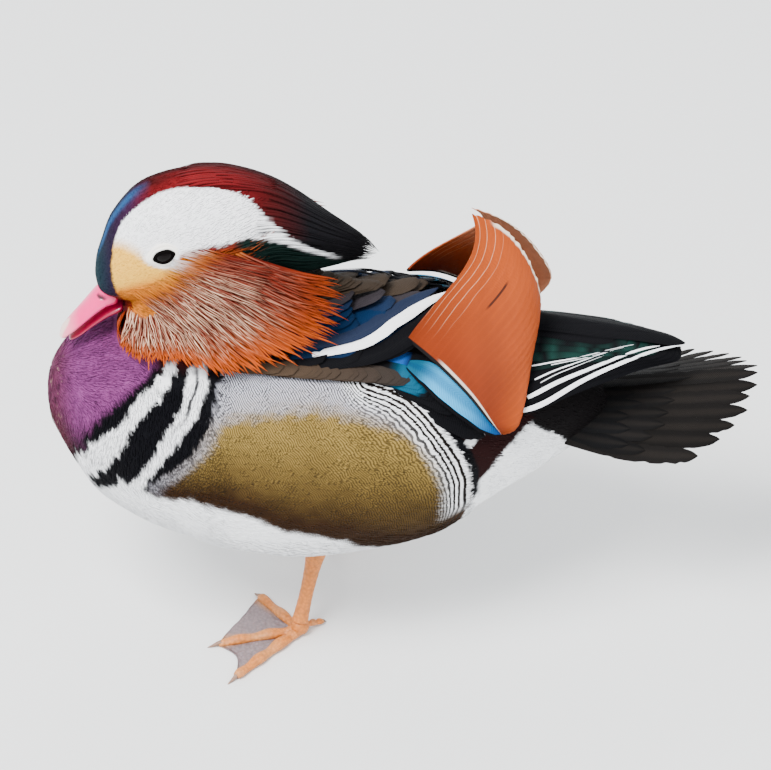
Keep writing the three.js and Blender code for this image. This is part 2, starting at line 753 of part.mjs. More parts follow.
function ruffFeathers() {
  const out = (point) => point.clone().sub(RUFF_MIDDLE);
  const pieces = [];
  for (const { count, from, to, middle, lift, width } of RUFF_TIERS) {
    for (let i = 0; i < count; i += 1) {
      const round = (i + 0.5 + draw() * 0.15) / count;
      const end = to * (1 + draw() * 0.035);
      const track = [
        [round, from, -1.2],
        [round, from + (end - from) * middle, lift * middle],
        [round + draw() * 0.012, end, lift],
      ];
      pieces.push(feather(ruffPoint, out, track, { width, ...RUFF_VANE }));
    }
  }
  const surface = (depth) => (u, v) => {
    const point = ruffPoint(0.02 + 0.96 * u, v * RUFF_CORE);
    return point.addScaledVector(out(point).normalize(), depth);
  };
  pieces.push(solid(sheet(surface(0.4), surface(-2), 10, 2)));
  return pieces;
}

const ruffLeft = sided(ruffFeathers(), true);
const ruff = (left) => largest(turnedSolid(union(left ? ruffLeft : sided(ruffLeft, false)))
  .subtract(headCut).subtract(neckCut).subtract(wingCover).subtract(torsoCut).subtract(crestCut));

// The tail: a fan with a roof's slope, its left side lower
const TAIL = {
  rootX: 76, rootZ: 122, rootHalf: 27, rootDrop: 9,
  reach: 169, middleZ: 132, half: 36, edgeBack: 33,
  slope: 18, roll: 6, thick: 3,
};

// A point of the fan: along 0 at the root to 1 at the tips, across -1 at the left edge to 1 at the right
function tailPoint(along, across) {
  const spread = Math.abs(across);
  const root = new THREE.Vector3(
    TAIL.rootX,
    TAIL.rootHalf * across,
    TAIL.rootZ - TAIL.rootDrop * spread ** 1.5 + TAIL.roll * 0.4 * across,
  );
  const tip = new THREE.Vector3(
    TAIL.reach - TAIL.edgeBack * spread ** 2.2,
    TAIL.half * across,
    TAIL.middleZ - TAIL.slope * spread ** 1.5 + TAIL.roll * across,
  );
  const point = root.lerp(tip, along);
  point.z -= 3.5 * Math.sin(Math.PI * along) * spread;
  return point;
}

// Tail feathers, the middle ones on top, and their upper coverts
const RECTRICES = { count: 12, width: 11, thick: 0.8, stack: 3.6, tilt: -13 };
const TAIL_COVERTS = { count: 4, width: 22, thick: 1, reach: 0.5, spread: 0.7, tilt: -5 };
const TAIL_CORE = 0.34;

function tailFeathers() {
  const out = () => new THREE.Vector3(0, 0, 1);
  const pieces = [];
  const place = (count, i) => (2 * i) / (count - 1) - 1;
  const row = ({ count, width, thick, tilt }, reach, spread, lift, shape) => {
    for (let i = 0; i < count; i += 1) {
      const across = spread * place(count, i);
      const end = reach * (1 + draw() * 0.022);
      const high = lift + RECTRICES.stack * (0.5 - Math.abs(across));
      const track = [
        [0.02, across * 0.9, high * 0.4 - lift * 0.6],
        [end * 0.5, across * 0.97, high * 0.8],
        [end, across, high * 0.5 + lift * 0.5],
      ];
      pieces.push(feather(tailPoint, out, track, { width, thick, shape, tilt: tilt * Math.sign(across) }));
    }
  };
  row(RECTRICES, 0.985, 0.95, 0, LONG);
  row(TAIL_COVERTS, TAIL_COVERTS.reach, TAIL_COVERTS.spread, 2.4, ROUNDED);
  const core = (drop) => (u, v) => {
    const point = tailPoint(u * TAIL_CORE, 1.8 * v - 0.9);
    point.z -= drop;
    return point;
  };
  pieces.push(solid(sheet(core(-0.6), core(TAIL.thick), 2, 6)));
  return pieces;
}

const tail = largest(union(tailFeathers()).subtract(torsoCut).subtract(wingLeft).subtract(wingRight));

// Legs and feet

// Joints of each leg, the way its middle toe points in degrees outwards from straight ahead, and how far
// its toes are spread
const LEFT_LEG = {
  left: true, hip: [-36, -15, 62], ankle: [-42.1, -24, 39], joint: [-49.6, -35.4, 7.5],
  heading: 14, spread: 1,
};
const RIGHT_LEG = {
  left: false, hip: [-28, 22, 62], ankle: [-27, 31, 38], joint: [-31, 41, 7.5],
  heading: 15, spread: 0.62,
};
// Toes: length, radius at the root and turn from the middle toe, degrees outwards
const TOES = [
  { length: 37, radius: 3, turn: -66 },
  { length: 46, radius: 3.3, turn: 0 },
  { length: 51, radius: 3.3, turn: 34 },
];
const HIND_TOE = { length: 15, radius: 2.2, turn: 198, rise: 3.4 };
const SOLE = 0.75;
const WEB = { thick: 1.3, reach: 0.86, notch: 0.3 };

const between = (a, b, t) => a.map((value, i) => value + (b[i] - value) * t);

function leg({ hip, ankle, joint }, depth) {
  return solid(limb([
    [...hip, 10 + depth],
    [...between(hip, ankle, 0.4), 8.4 + depth],
    [...between(hip, ankle, 0.8), 6 + depth],
    [...ankle, 4.9 + depth],
    [...between(ankle, joint, 0.2), 4 + depth],
    [...between(ankle, joint, 0.55), 3.5 + depth],
    [...between(ankle, joint, 0.85), 3.8 + depth],
    [...joint, 4.3 + depth],
  ], 10));
}

// The point on the floor at a distance along a toe
function toePoint({ left, joint, heading }, turn, distance) {
  const angle = THREE.MathUtils.degToRad(heading + turn);
  const out = left ? -1 : 1;
  return [joint[0] - Math.cos(angle) * distance, joint[1] + out * Math.sin(angle) * distance];
}

function toe(sizes, { length, radius, turn, rise = 0 }) {
  const station = (share, thick, lift = 0) => [
    ...toePoint(sizes, turn, share * length),
    thick * radius * SOLE + lift,
    thick * radius,
  ];
  return solid(limb([
    station(-0.04, 0.95, 1 + rise),
    station(0.3, 0.94, rise * 0.7),
    station(0.6, 0.86, rise * 0.4),
    station(0.84, 0.76, rise * 0.2),
    station(0.9, 0.42, 0.6),
    station(1, 0.14, 0.1),
  ], 6));
}

// The skin between two toes, hollowed along its front edge
function web(sizes, first, second) {
  const surface = (height) => (u, v) => {
    const turn = first.turn + (second.turn - first.turn) * u;
    const length = first.length + (second.length - first.length) * u;
    const front = length * WEB.reach * (1 - WEB.notch * Math.sin(Math.PI * u));
    const [x, y] = toePoint(sizes, turn, 2 + (front - 2) * v);
    return new THREE.Vector3(x, y, height);
  };
  return solid(sheet(surface(WEB.thick), surface(0), 4, 1));
}

function foot(sizes) {
  const toes = TOES.map((one) => ({ ...one, turn: one.turn * sizes.spread }));
  const pieces = [...toes, HIND_TOE].map((one) => toe(sizes, one));
  pieces.push(web(sizes, toes[0], toes[1]), web(sizes, toes[1], toes[2]));
  const [x, y, z] = sizes.joint;
  pieces.push(solid(egg([x, y, z - 3], [4.9, 4.9, 4.9], 8, 5)));
  return largest(union(pieces).trimByPlane([0, 0, 1], 0).subtract(leg(sizes, GAP)));
}

// The whole bird

const duck = new THREE.Group();

function add(name, made, colour, roughness = 0.7) {
  const { vertProperties, triVerts } = made.getMesh();
  const geometry = new THREE.BufferGeometry();
  geometry.setAttribute('position', new THREE.BufferAttribute(new Float32Array(vertProperties), 3));
  geometry.setIndex(new THREE.BufferAttribute(new Uint32Array(triVerts), 1));
  geometry.computeVertexNormals();
  const material = new THREE.MeshStandardMaterial({ color: colour, roughness, metalness: 0 });
  const mesh = new THREE.Mesh(geometry, material);
  mesh.name = name;
  duck.add(mesh);
}

add('torso', torso, 0xa08a5a);
add('neck', neck, 0x7a2f20);
add('head', head, 0xf2f0ee);
add('eye_left', eyeBall(1, 0), 0x0c0a0a, 0.1);
add('eye_right', eyeBall(-1, 0), 0x0c0a0a, 0.1);
add('bill_upper', bill, 0xe0506e, 0.4);
add('bill_lower', lowerBill, 0xb03a50, 0.4);
add('crest', crest, 0x46161a);
add('ruff_left', ruff(true), 0xb24a2c);
add('ruff_right', ruff(false), 0xb24a2c);
add('wing_left', wingLeft, 0x2c4058);
add('wing_right', wingRight, 0x2c4058);
add('sail_left', sail(true), 0xc8692f);
add('sail_right', sail(false), 0xc8692f);
add('tail', tail, 0x2a2826);
for (const [name, sizes] of [['left', LEFT_LEG], ['right', RIGHT_LEG]]) {
  add(`leg_${name}`, largest(leg(sizes, 0).subtract(torsoCut)), 0xcc8148, 0.5);
  add(`foot_${name}`, foot(sizes), 0xd19a70, 0.5);
}

export default duck;
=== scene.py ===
"""A drake mandarin duck, life size, dressed over its fixed frame.

Lengths are millimetres in the tables and become metres when a mesh is made. The bird faces -X and its left
side faces -Y. Places on the body and on the head are given as a chart: x along it, and the angle above its
side line, in degrees, with both sides alike.
"""
import math

import bpy
import numpy as np
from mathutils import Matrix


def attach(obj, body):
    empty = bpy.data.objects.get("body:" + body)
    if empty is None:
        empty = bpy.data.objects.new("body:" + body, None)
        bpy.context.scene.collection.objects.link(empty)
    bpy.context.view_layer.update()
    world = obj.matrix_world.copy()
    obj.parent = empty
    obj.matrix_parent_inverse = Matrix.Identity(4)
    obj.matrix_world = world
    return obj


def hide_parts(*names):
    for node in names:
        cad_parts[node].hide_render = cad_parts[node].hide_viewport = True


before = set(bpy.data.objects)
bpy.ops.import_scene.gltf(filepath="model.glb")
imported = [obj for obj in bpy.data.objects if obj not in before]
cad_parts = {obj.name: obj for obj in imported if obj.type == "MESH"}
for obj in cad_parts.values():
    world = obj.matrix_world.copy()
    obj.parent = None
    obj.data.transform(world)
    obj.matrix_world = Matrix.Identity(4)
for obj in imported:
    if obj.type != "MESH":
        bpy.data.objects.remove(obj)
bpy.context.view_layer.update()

MM = 0.001
draw = np.random.default_rng(20261)

# Stations: x, height of the widest line, half width, height above it, depth below it
TORSO = [
    (-168.4, 124, 0, 0, 0), (-167, 123.5, 12, 11, 13), (-163, 123, 21, 20, 22), (-155, 121, 33, 32, 34),
    (-143, 117, 46, 44, 45.5), (-120, 112, 57, 54, 55), (-96, 109, 62, 61, 61), (-72, 107, 64.5, 64, 64),
    (-48, 106, 65, 65, 66.5), (-15, 108, 63, 63, 64.5), (12, 110.7, 58, 57.5, 60.5), (26, 113.3, 53, 52, 56),
    (34, 114.5, 49.5, 48.5, 52), (46, 116, 44, 42, 45), (66, 118, 34, 29, 34), (86, 119, 21, 15, 21),
    (97, 119, 11, 7, 9), (102, 119, 0, 0, 0),
]
# The head before it turns, and the crest behind it
HEAD = [
    (-143.6, 196, 0, 0, 0), (-142.2, 197, 8, 9, 8), (-139, 199, 13, 17, 13), (-134, 204, 17, 25, 20),
    (-123, 210, 21.5, 32.5, 28), (-111, 214, 24, 34, 34), (-97, 216, 25, 34, 36), (-80, 218, 23, 30.5, 34),
]
NAPE = [(-66, 219, 18.5, 26, 27), (-56, 218, 12, 20, 18), (-51, 217, 0, 0, 0)]
CREST = [
    (-62, 220, 18, 21.8, 25), (-48, 216.5, 15.5, 15.6, 25), (-35, 209.5, 11, 11.6, 17),
    (-23, 203, 6.5, 8.5, 9), (-15, 199, 3.4, 5, 5.5), (-10, 196.5, 0, 0, 0),
]
# The neck from bottom to top: height, x of its middle, half length, half width
NECK = [
    (120, -96, 36, 34), (150, -98, 38, 36), (166, -98, 37, 34), (180, -98, 34, 30), (192, -99, 31, 26),
    (210, -100, 26, 20),
]
HEAD_YAW = math.radians(7)
HEAD_PIVOT = np.array([-85.0, 0.0, 0.0])
EYE = np.array([-112.5, -19.6, 220.3])
EYE_RADIUS = 5.4
# The middles of the body and of the crest, which everything laid on them faces away from
BODY_MIDDLE = np.array([0.0, 0, 112])
CREST_MIDDLE = np.array([-60.0, 0, 214])

# The camera, as the photograph was taken: above the bird's left side
CAMERA_HEIGHT_ANGLE = math.radians(38)
CAMERA_DISTANCE = 2200
CAMERA_TARGET = np.array([-8.1, 0.0, 125.0])
PIXEL = 0.475
PHOTO = np.array([771.0, 770.0])
BACK = np.array([0, -math.cos(CAMERA_HEIGHT_ANGLE), math.sin(CAMERA_HEIGHT_ANGLE)])
RIGHT = np.array([1.0, 0.0, 0.0])
UP = np.array([0, math.sin(CAMERA_HEIGHT_ANGLE), math.cos(CAMERA_HEIGHT_ANGLE)])


# Curves and stations

def smooth_rows(rows, per_span):
    """Catmull-Rom rows: between two rows the value is the cubic whose slope at each is half the way from
    the row before it to the row after it."""
    rows = np.asarray(rows, float)
    padded = np.vstack([rows[:1], rows, rows[-1:]])
    t = np.arange(per_span)[:, None] / per_span
    spans = []
    for a, b, c, d in zip(padded, padded[1:], padded[2:], padded[3:]):
        spans.append(0.5 * (2 * b + (c - a) * t + (2 * a - 5 * b + 4 * c - d) * t**2
                            + (3 * b - a - 3 * c + d) * t**3))
    return np.vstack(spans + [rows[-1:]])


torso_rows = smooth_rows(TORSO, 6)
head_rows = smooth_rows(HEAD + NAPE, 6)
crown_rows = smooth_rows(HEAD + CREST, 6)
crown_rows = crown_rows[np.argsort(crown_rows[:, 0], kind="stable")]


def row_at(rows, x):
    """Each size of the stations at x, by straight interpolation."""
    return [np.interp(x, rows[:, 0], rows[:, c]) for c in range(1, rows.shape[1])]


def along(curve, share):
    """A point of a smooth curve through a few points, share 0 to 1 of the way."""
    dense = smooth_rows(curve, 12)
    place = np.clip(share, 0, 1) * (len(dense) - 1)
    return np.stack([np.interp(place, np.arange(len(dense)), dense[:, c]) for c in range(dense.shape[1])], -1)


def smoothstep(value, low, high):
    """0 below low, 1 above high, and the cubic 3t^2 - 2t^3 between."""
    t = np.clip((value - low) / (high - low), 0, 1)
    return t * t * (3 - 2 * t)


def unit(vectors):
    """Vectors of length one."""
    return vectors / np.maximum(np.linalg.norm(vectors, axis=-1, keepdims=True), 1e-9)


def turn_head(points, back=False):
    """The head's turn about its pivot, or back again."""
    angle = -HEAD_YAW if back else HEAD_YAW
    c, s = math.cos(angle), math.sin(angle)
    p = points - HEAD_PIVOT
    turned = [p[..., 0] * c - p[..., 1] * s, p[..., 0] * s + p[..., 1] * c, p[..., 2]]
    return np.stack(turned, -1) + HEAD_PIVOT


def turn_way(vectors):
    """The head's turn for a direction."""
    return turn_head(vectors + HEAD_PIVOT) - HEAD_PIVOT


# Upper edge of the long flank feathers: x and the angle above the side line
FLANK_TOP = np.array([
    (-120, 66), (-92, 61), (-80, 56), (-6, 54), (10, 45), (20, 34), (29, 18), (38, -4),
], float)
FLANK_SWELL = 3


def flank_swell(x, degrees):
    """How far the flank feathers stand out over the wing and the rump."""
    edge = np.interp(x, FLANK_TOP[:, 0], FLANK_TOP[:, 1])
    past = smoothstep(edge - degrees, -3, 9)
    front = smoothstep(x, -108, -86)
    foot = smoothstep(degrees, -75, -30)
    rear = 1 - smoothstep(x, 29, 36)
    return FLANK_SWELL * past * front * foot * rear


def side_angle(angle):
    """The angle above the side line, -90 to 90 degrees, for an angle all the way round."""
    return np.degrees(np.arcsin(np.clip(np.sin(angle), -1, 1)))


def over(rows, x, degrees, lift):
    """The point at x and an angle above the side line, on the oval section there grown by lift: the side
    goes with the cosine of the angle, the height with its sine."""
    angle = np.radians(degrees)
    z, half, above, below = row_at(rows, x)
    rise = np.where(np.sin(angle) > 0, above, below)
    return np.stack([x + 0 * angle, -(half + lift) * np.cos(angle), z + (rise + lift) * np.sin(angle)], -1)


def body_at(x, degrees, lift=0.0):
    """A point of the body by its chart place."""
    return over(torso_rows, np.asarray(x, float), np.asarray(degrees, float), lift)


def crown_at(x, degrees):
    """A point of the turned head or crest by its chart place."""
    return turn_head(over(crown_rows, np.asarray(x, float), np.asarray(degrees, float), 0.0))


def chart(rows, points):
    """x and the angle above the side line of points near an oval body, both sides alike."""
    z, half, above, below = row_at(rows, points[..., 0])
    up = points[..., 2] - z
    rise = np.where(up > 0, above, below)
    across = np.abs(points[..., 1]) / np.maximum(half, 1)
    return points[..., 0], np.degrees(np.arctan2(up / np.maximum(rise, 1), across))


def photo_of(points):
    """Where points show in the photograph, in pixels: right and down from its corner."""
    p = points - (CAMERA_TARGET + CAMERA_DISTANCE * BACK)
    depth = -(p @ BACK)
    size = CAMERA_DISTANCE / PIXEL
    return np.stack([PHOTO[0] / 2 + p @ RIGHT / depth * size, PHOTO[1] / 2 - p @ UP / depth * size], -1)


CHART_GRID = 260
NEARER_COUNTS = 0.02


def from_photo(surface, pixels, x_range, degrees_range):
    """The chart places of pixels on a surface: the nearest points of a fine grid over it, those nearer to
    the camera first."""
    x, degrees = np.meshgrid(np.linspace(*x_range, CHART_GRID), np.linspace(*degrees_range, CHART_GRID),
                             indexing="ij")
    points = surface(x, degrees)
    shown = photo_of(points)
    depth = points @ BACK
    found = []
    for pixel in np.asarray(pixels, float):
        cost = np.sum((shown - pixel) ** 2, -1) - NEARER_COUNTS * depth
        k = np.unravel_index(np.argmin(cost), cost.shape)
        found.append((x[k], degrees[k]))
    return np.array(found)


def body_places(pixels):
    """Chart places of pixels of the photograph on the body."""
    return from_photo(lambda x, d: body_at(x, d, 1.0), pixels, (-168, 100), (-60, 110))


def head_places(pixels):
    """Chart places of pixels of the photograph on the head and the crest."""
    return from_photo(crown_at, pixels, (-143, -12), (-60, 120))


# Meshes

def make_mesh(name, points, faces):
    """A mesh of points in millimetres and faces of one size."""
    faces = np.asarray(faces, np.int32)
    mesh = bpy.data.meshes.new(name)
    mesh.vertices.add(len(points))
    mesh.vertices.foreach_set("co", (np.asarray(points) * MM).astype(np.float32).ravel())
    mesh.loops.add(faces.size)
    mesh.loops.foreach_set("vertex_index", faces.ravel())
    mesh.polygons.add(len(faces))
    mesh.polygons.foreach_set("loop_start", np.arange(0, faces.size, faces.shape[1], dtype=np.int32))
    mesh.update(calc_edges=True)
    mesh.validate()
    mesh.polygons.foreach_set("use_smooth", np.ones(len(mesh.polygons), bool))
    return mesh


def add_piece(mesh, finish, nodes=()):
    """The object of a mesh, riding on the body, with its finish and the nodes it stands for."""
    piece = bpy.data.objects.new(mesh.name, mesh)
    bpy.context.scene.collection.objects.link(piece)
    mesh.materials.append(finish)
    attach(piece, "root")
    if nodes:
        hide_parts(*nodes)
    return piece


def set_number(mesh, name, values):
    """Stores a number at each point."""
    stored = mesh.attributes.new(name, "FLOAT", "POINT")
    stored.data.foreach_set("value", np.asarray(values, np.float32).ravel())


def set_colour(mesh, name, colours):
    """Stores a colour at each point."""
    rgba = np.ones((len(colours), 4), np.float32)
    rgba[:, :3] = colours
    stored = mesh.attributes.new(name, "FLOAT_COLOR", "POINT")
    stored.data.foreach_set("color", rgba.ravel())


def set_uv(mesh, name, places):
    """A UV map from one place a vertex."""
    corners = np.zeros(len(mesh.loops), np.int32)
    mesh.loops.foreach_get("vertex_index", corners)
    mesh.uv_layers.new(name=name).data.foreach_set("uv", np.asarray(places, np.float32)[corners].ravel())


def grid_faces(rows, columns, closed):
    """Quads over a grid of points, its columns closed to a ring or not."""
    r, c = np.meshgrid(np.arange(rows - 1), np.arange(columns if closed else columns - 1), indexing="ij")
    following = (c + 1) % columns
    return np.stack([r * columns + c, r * columns + following, (r + 1) * columns + following,
                     (r + 1) * columns + c], -1).reshape(-1, 4)


def split(quads):
    """Two triangles for each quad."""
    return np.vstack([quads[:, [0, 1, 2]], quads[:, [0, 2, 3]]])


def outwards(points, triangles):
    """The triangles of a closed surface, turned round where the volume inside them comes out negative."""
    a, b, c = (points[triangles[:, k]] for k in range(3))
    return triangles[:, ::-1] if np.sum(a * np.cross(b, c)) < 0 else triangles


def slab_quads(columns, rows):
    """Quads of a thin closed slab: a grid of points, the same grid on its other side, and the rim."""
    size = columns * rows
    top = grid_faces(columns, rows, False)
    rim = np.concatenate([np.arange(columns) * rows, (columns - 1) * rows + np.arange(1, rows),
                          np.arange(columns - 2, -1, -1) * rows + rows - 1, np.arange(rows - 2, 0, -1)])
    following = np.roll(rim, -1)
    edge = np.stack([rim, rim + size, following + size, following], -1)
    return np.vstack([top, top[:, ::-1] + size, edge])


def tube(rings):
    """Points and triangles of a closed skin over rings of points, with a middle point at each end."""
    count, sides = rings.shape[:2]
    points = np.vstack([rings.reshape(-1, 3), rings[0].mean(0), rings[-1].mean(0)])
    quads = grid_faces(count, sides, True)
    k = np.arange(sides)
    first = np.stack([k, np.full(sides, count * sides), (k + 1) % sides], -1)
    base = (count - 1) * sides
    last = np.stack([base + k, base + (k + 1) % sides, np.full(sides, count * sides + 1)], -1)
    return points, outwards(points, np.vstack([split(quads), first, last]))


def tube_mesh(name, rings):
    """The mesh of a closed skin over rings of points."""
    return make_mesh(name, *tube(rings))


def ball_rings(sides, count):
    """Rings of a ball of radius one about its x axis, open by a hair at both ends."""
    angle = np.linspace(0.02, math.pi - 0.02, count)[:, None]
    turn = np.linspace(0, 2 * math.pi, sides, endpoint=False)
    wide = np.sin(angle)
    return np.stack([np.cos(angle) + 0 * turn, wide * np.cos(turn), wide * np.sin(turn)], -1)


def oval_rings(rows, sides, lift=0.0, swell=False):
    """Rings of a body of oval sections, each grown by lift."""
    rows = rows[rows[:, 2] > 0.5]
    angles = np.linspace(0, 2 * math.pi, sides, endpoint=False)
    x = rows[:, 0][:, None]
    out = lift + (flank_swell(x, side_angle(angles)[None, :]) if swell else 0)
    rise = np.where(np.sin(angles) > 0, rows[:, 3][:, None], rows[:, 4][:, None])
    half = np.maximum(rows[:, 2][:, None] + out, 0.2)
    high = np.maximum(rise + out, 0.2)
    return np.stack([x + 0 * angles, -half * np.cos(angles), rows[:, 1][:, None] + high * np.sin(angles)], -1)


def path_rings(path, radii, sides, flat=1.0):
    """Rings round a path: at each point an oval square to the way to its neighbours, its width the radius
    and its height the radius times flat."""
    path = np.asarray(path, float)
    way = unit(np.gradient(path, axis=0))
    across = np.cross(np.array([0, 0, 1.0]), way)
    steep = np.linalg.norm(across, axis=1) < 0.2
    across[steep] = np.array([0, 1.0, 0])
    across = unit(across - way * np.sum(across * way, -1, keepdims=True))
    up = np.cross(way, across)
    angles = np.linspace(0, 2 * math.pi, sides, endpoint=False)
    radii = np.asarray(radii, float)[:, None, None]
    flat = np.broadcast_to(np.asarray(flat, float).reshape(-1, 1, 1), radii.shape)
    ring = (np.cos(angles)[None, :, None] * across[:, None]
            + flat * np.sin(angles)[None, :, None] * up[:, None])
    return path[:, None] + radii * ring


# Colours

def paint(red, green, blue):
    """A colour of the screen, 0 to 255, as light."""
    value = np.array([red, green, blue]) / 255
    return np.where(value < 0.04045, value / 12.92, ((value + 0.055) / 1.055) ** 2.4)


def blend(first, second, share):
    """Two colours mixed by a share."""
    return first + (second - first) * np.asarray(share)[..., None]


def ramp(value, stops):
    """A colour that runs smoothly through stops of (place, colour)."""
    places = [place for place, _ in stops]
    return np.stack([np.interp(value, places, [colour[c] for _, colour in stops]) for c in range(3)], -1)


BLACK = paint(8, 8, 12)
WHITE = paint(252, 252, 254)
BELLY = paint(250, 251, 253)
PURPLE = paint(116, 55, 106)
PURPLE_LOW = paint(44, 18, 24)
BREAST_FRONT = paint(88, 40, 56)
BREAST_SPECKLE = paint(186, 150, 136)
LINE_DARK = paint(22, 17, 14)
GREY = paint(197, 197, 209)
GOLD = paint(134, 110, 56)
BROWN = paint(48, 28, 10)
MAROON = paint(30, 10, 10)
RUMP = paint(22, 19, 20)
BACK_BROWN = paint(60, 50, 44)
BRICK = paint(105, 18, 22)
CROWN_DARK = paint(57, 11, 12)
CROWN_BLACK = paint(24, 10, 12)
CROWN_BLUE = paint(37, 78, 124)
CROWN_TEAL = paint(14, 42, 48)
CREST_BLACK = paint(10, 9, 12)
CHEEK_GREEN = paint(8, 28, 24)
LORE = paint(236, 174, 30)
CHEEK_ORANGE = paint(208, 116, 30)
RUST = paint(115, 28, 11)
RUST_DARK = paint(76, 12, 6)
ORANGE = paint(197, 84, 24)
CREAM = paint(250, 206, 172)

# Markings of the breast and flank, by their edges in the photograph
PURPLE_EDGE = body_places([(180, 352), (156, 366), (136, 385), (120, 400), (103, 415), (86, 431), (72, 453)])
BAR_ONE = (
    body_places([(178, 354), (156, 380), (140, 395), (123, 420), (106, 434), (90, 444), (76, 456)]),
    body_places([(190, 351), (178, 366), (166, 386), (148, 410), (133, 430), (123, 446), (108, 466),
                 (90, 476)]),
)
BAR_TWO = (
    body_places([(194, 366), (189, 372), (183, 401), (173, 423), (159, 446), (146, 468), (133, 483),
                 (121, 495)]),
    body_places([(207, 360), (207, 385), (202, 400), (196, 418), (186, 430), (176, 444), (156, 471),
                 (140, 490)]),
)
FLANK_FRONT = body_places([(221, 372), (217, 401), (208, 429), (194, 451), (173, 472), (148, 487)])
FLANK_FOOT = body_places([(140, 492), (164, 502), (189, 502), (222, 508), (256, 517), (276, 528), (315, 535),
                          (353, 541)])
FLANK_REAR = body_places([(372, 379), (391, 385), (410, 395), (428, 411), (444, 430), (456, 444), (465, 458),
                          (470, 475), (471, 500)])
GREY_FOOT = body_places([(219, 428), (260, 422), (315, 416), (360, 424), (401, 436), (440, 456)])
BROWN_TOP = body_places([(190, 478), (220, 474), (276, 491), (353, 500), (430, 500)])
VENT_EDGE = body_places([(530, 424), (523, 430), (510, 446), (495, 466), (480, 484)])
VENT_TOP = body_places([(528, 422), (556, 436), (585, 447), (600, 450)])
LONE_LINE = body_places([(416, 393), (430, 405), (444, 423)])


def edge_x(edge, degrees):
    """x of an edge at an angle, carried on straight below its last place."""
    order = np.argsort(edge[:, 1])
    return np.interp(degrees, edge[order, 1], edge[order, 0])


def edge_angle(edge, x):
    """The angle of an edge at x."""
    order = np.argsort(edge[:, 0])
    return np.interp(x, edge[order, 0], edge[order, 1])


def line_distance(places, corners, stretch):
    """How far places lie from a broken line of the chart, in millimetres: the least distance to one of its
    straight parts. An angle counts as stretch millimetres a degree."""
    p = np.stack([places[0], places[1] * stretch], -1)
    a = np.stack([corners[:, 0], corners[:, 1] * stretch], -1)
    nearest = np.full(p.shape[:-1], 1e9)
    for start, end in zip(a, a[1:]):
        side = end - start
        t = np.clip(((p - start) @ side) / max(side @ side, 1e-9), 0, 1)
        nearest = np.minimum(nearest, np.linalg.norm(p - start - t[..., None] * side, axis=-1))
    return nearest


def polygon_distance(places, corners, stretch=1.0):
    """How far places lie inside a polygon of the chart, negative outside. The sign comes from counting the
    sides crossed to the left."""
    closed = np.vstack([corners, corners[:1]])
    nearest = line_distance(places, closed, stretch)
    inside = np.zeros(nearest.shape, bool)
    for start, end in zip(closed, closed[1:]):
        crossing = (start[1] > places[1]) != (end[1] > places[1])
        run = end[1] - start[1]
        at = start[0] + (places[1] - start[1]) * (end[0] - start[0]) / (run if abs(run) > 1e-9 else 1e-9)
        inside ^= crossing & (places[0] < at)
    return np.where(inside, nearest, -nearest)


def ripple(points, size, seed):
    """Smooth noise from a few sine waves of one size in millimetres, about -1 to 1."""
    waves = np.random.default_rng(seed)
    total = 0
    for _ in range(5):
        way = unit(waves.normal(size=3)) * (2 * math.pi / (size * waves.uniform(0.7, 1.5)))
        total = total + np.sin(points @ way + waves.uniform(0, 6.28))
    return total / 3


def bold_phase(depth):
    """Lines counted inwards from the flank's rear edge: their spacing is 1.25 + 3.0 e^(-depth / 5.5), so the
    count is the integral of one over it."""
    a, b, c = 1.25, 3.0, 5.5
    inner = c / a * np.log((a * np.exp(np.maximum(depth, 0) / c) + b) / (a + b))
    return inner + np.minimum(depth, 0) / (a + b)


def line_field():
    """The phase of the flank's fine lines over the chart. It is the smooth field whose slope is nearest, by
    least squares, to the wanted direction and spacing of the lines everywhere on a grid, held to the bold
    lines by the rear edge."""
    x, degrees = np.meshgrid(np.linspace(-125, 45, 64), np.linspace(-64, 68, 42), indexing="ij")
    step_x, step_y = x[1, 0] - x[0, 0], (degrees[0, 1] - degrees[0, 0]) * ARC
    rear = polygon_distance((x, degrees), REAR_REGION, ARC)
    rise = np.radians(50 * smoothstep(degrees, -42, 18) * (0.45 + 0.55 * smoothstep(x, -112, -60))
                      - 10 * smoothstep(degrees, -30, -60))
    spacing = 0.9 + 0.3 * smoothstep(degrees, 2, 36)
    slope_x, slope_y = np.gradient(-rear, step_x, step_y)
    size = np.maximum(np.hypot(slope_x, slope_y), 0.3)
    near = smoothstep(rear, 24, 10)
    bold = 1.25 + 3.0 * np.exp(-np.maximum(rear, 0) / 5.5)
    want_x = np.cos(rise) / spacing * (1 - near) + slope_x / size / bold * near
    want_y = np.sin(rise) / spacing * (1 - near) + slope_y / size / bold * near
    number = np.arange(x.size).reshape(x.shape)
    pairs = [(number[:-1], number[1:], (want_x[:-1] + want_x[1:]) / 2 * step_x),
             (number[:, :-1], number[:, 1:], (want_y[:, :-1] + want_y[:, 1:]) / 2 * step_y)]
    low = np.concatenate([pair[0].ravel() for pair in pairs])
    high = np.concatenate([pair[1].ravel() for pair in pairs])
    want = np.concatenate([pair[2].ravel() for pair in pairs])
    square = np.zeros((x.size, x.size))
    np.add.at(square, (low, low), 1)
    np.add.at(square, (high, high), 1)
    np.add.at(square, (low, high), -1)
    np.add.at(square, (high, low), -1)
    right = np.zeros(x.size)
    np.add.at(right, high, want)
    np.add.at(right, low, -want)
    held = np.where((rear > -3) & (rear < 11), 0.6, 0).ravel()
    square[np.arange(x.size), np.arange(x.size)] += held + 1e-6
    right -= held * bold_phase(rear).ravel()
    return x[:, 0], degrees[0], np.linalg.solve(square, right).reshape(x.shape)


ARC = 1.09
REAR_REGION = np.vstack([[(-60, 140)], FLANK_REAR, [(22, -60), (-60, -140), (-400, -140), (-400, 140)]])
LINES = line_field()


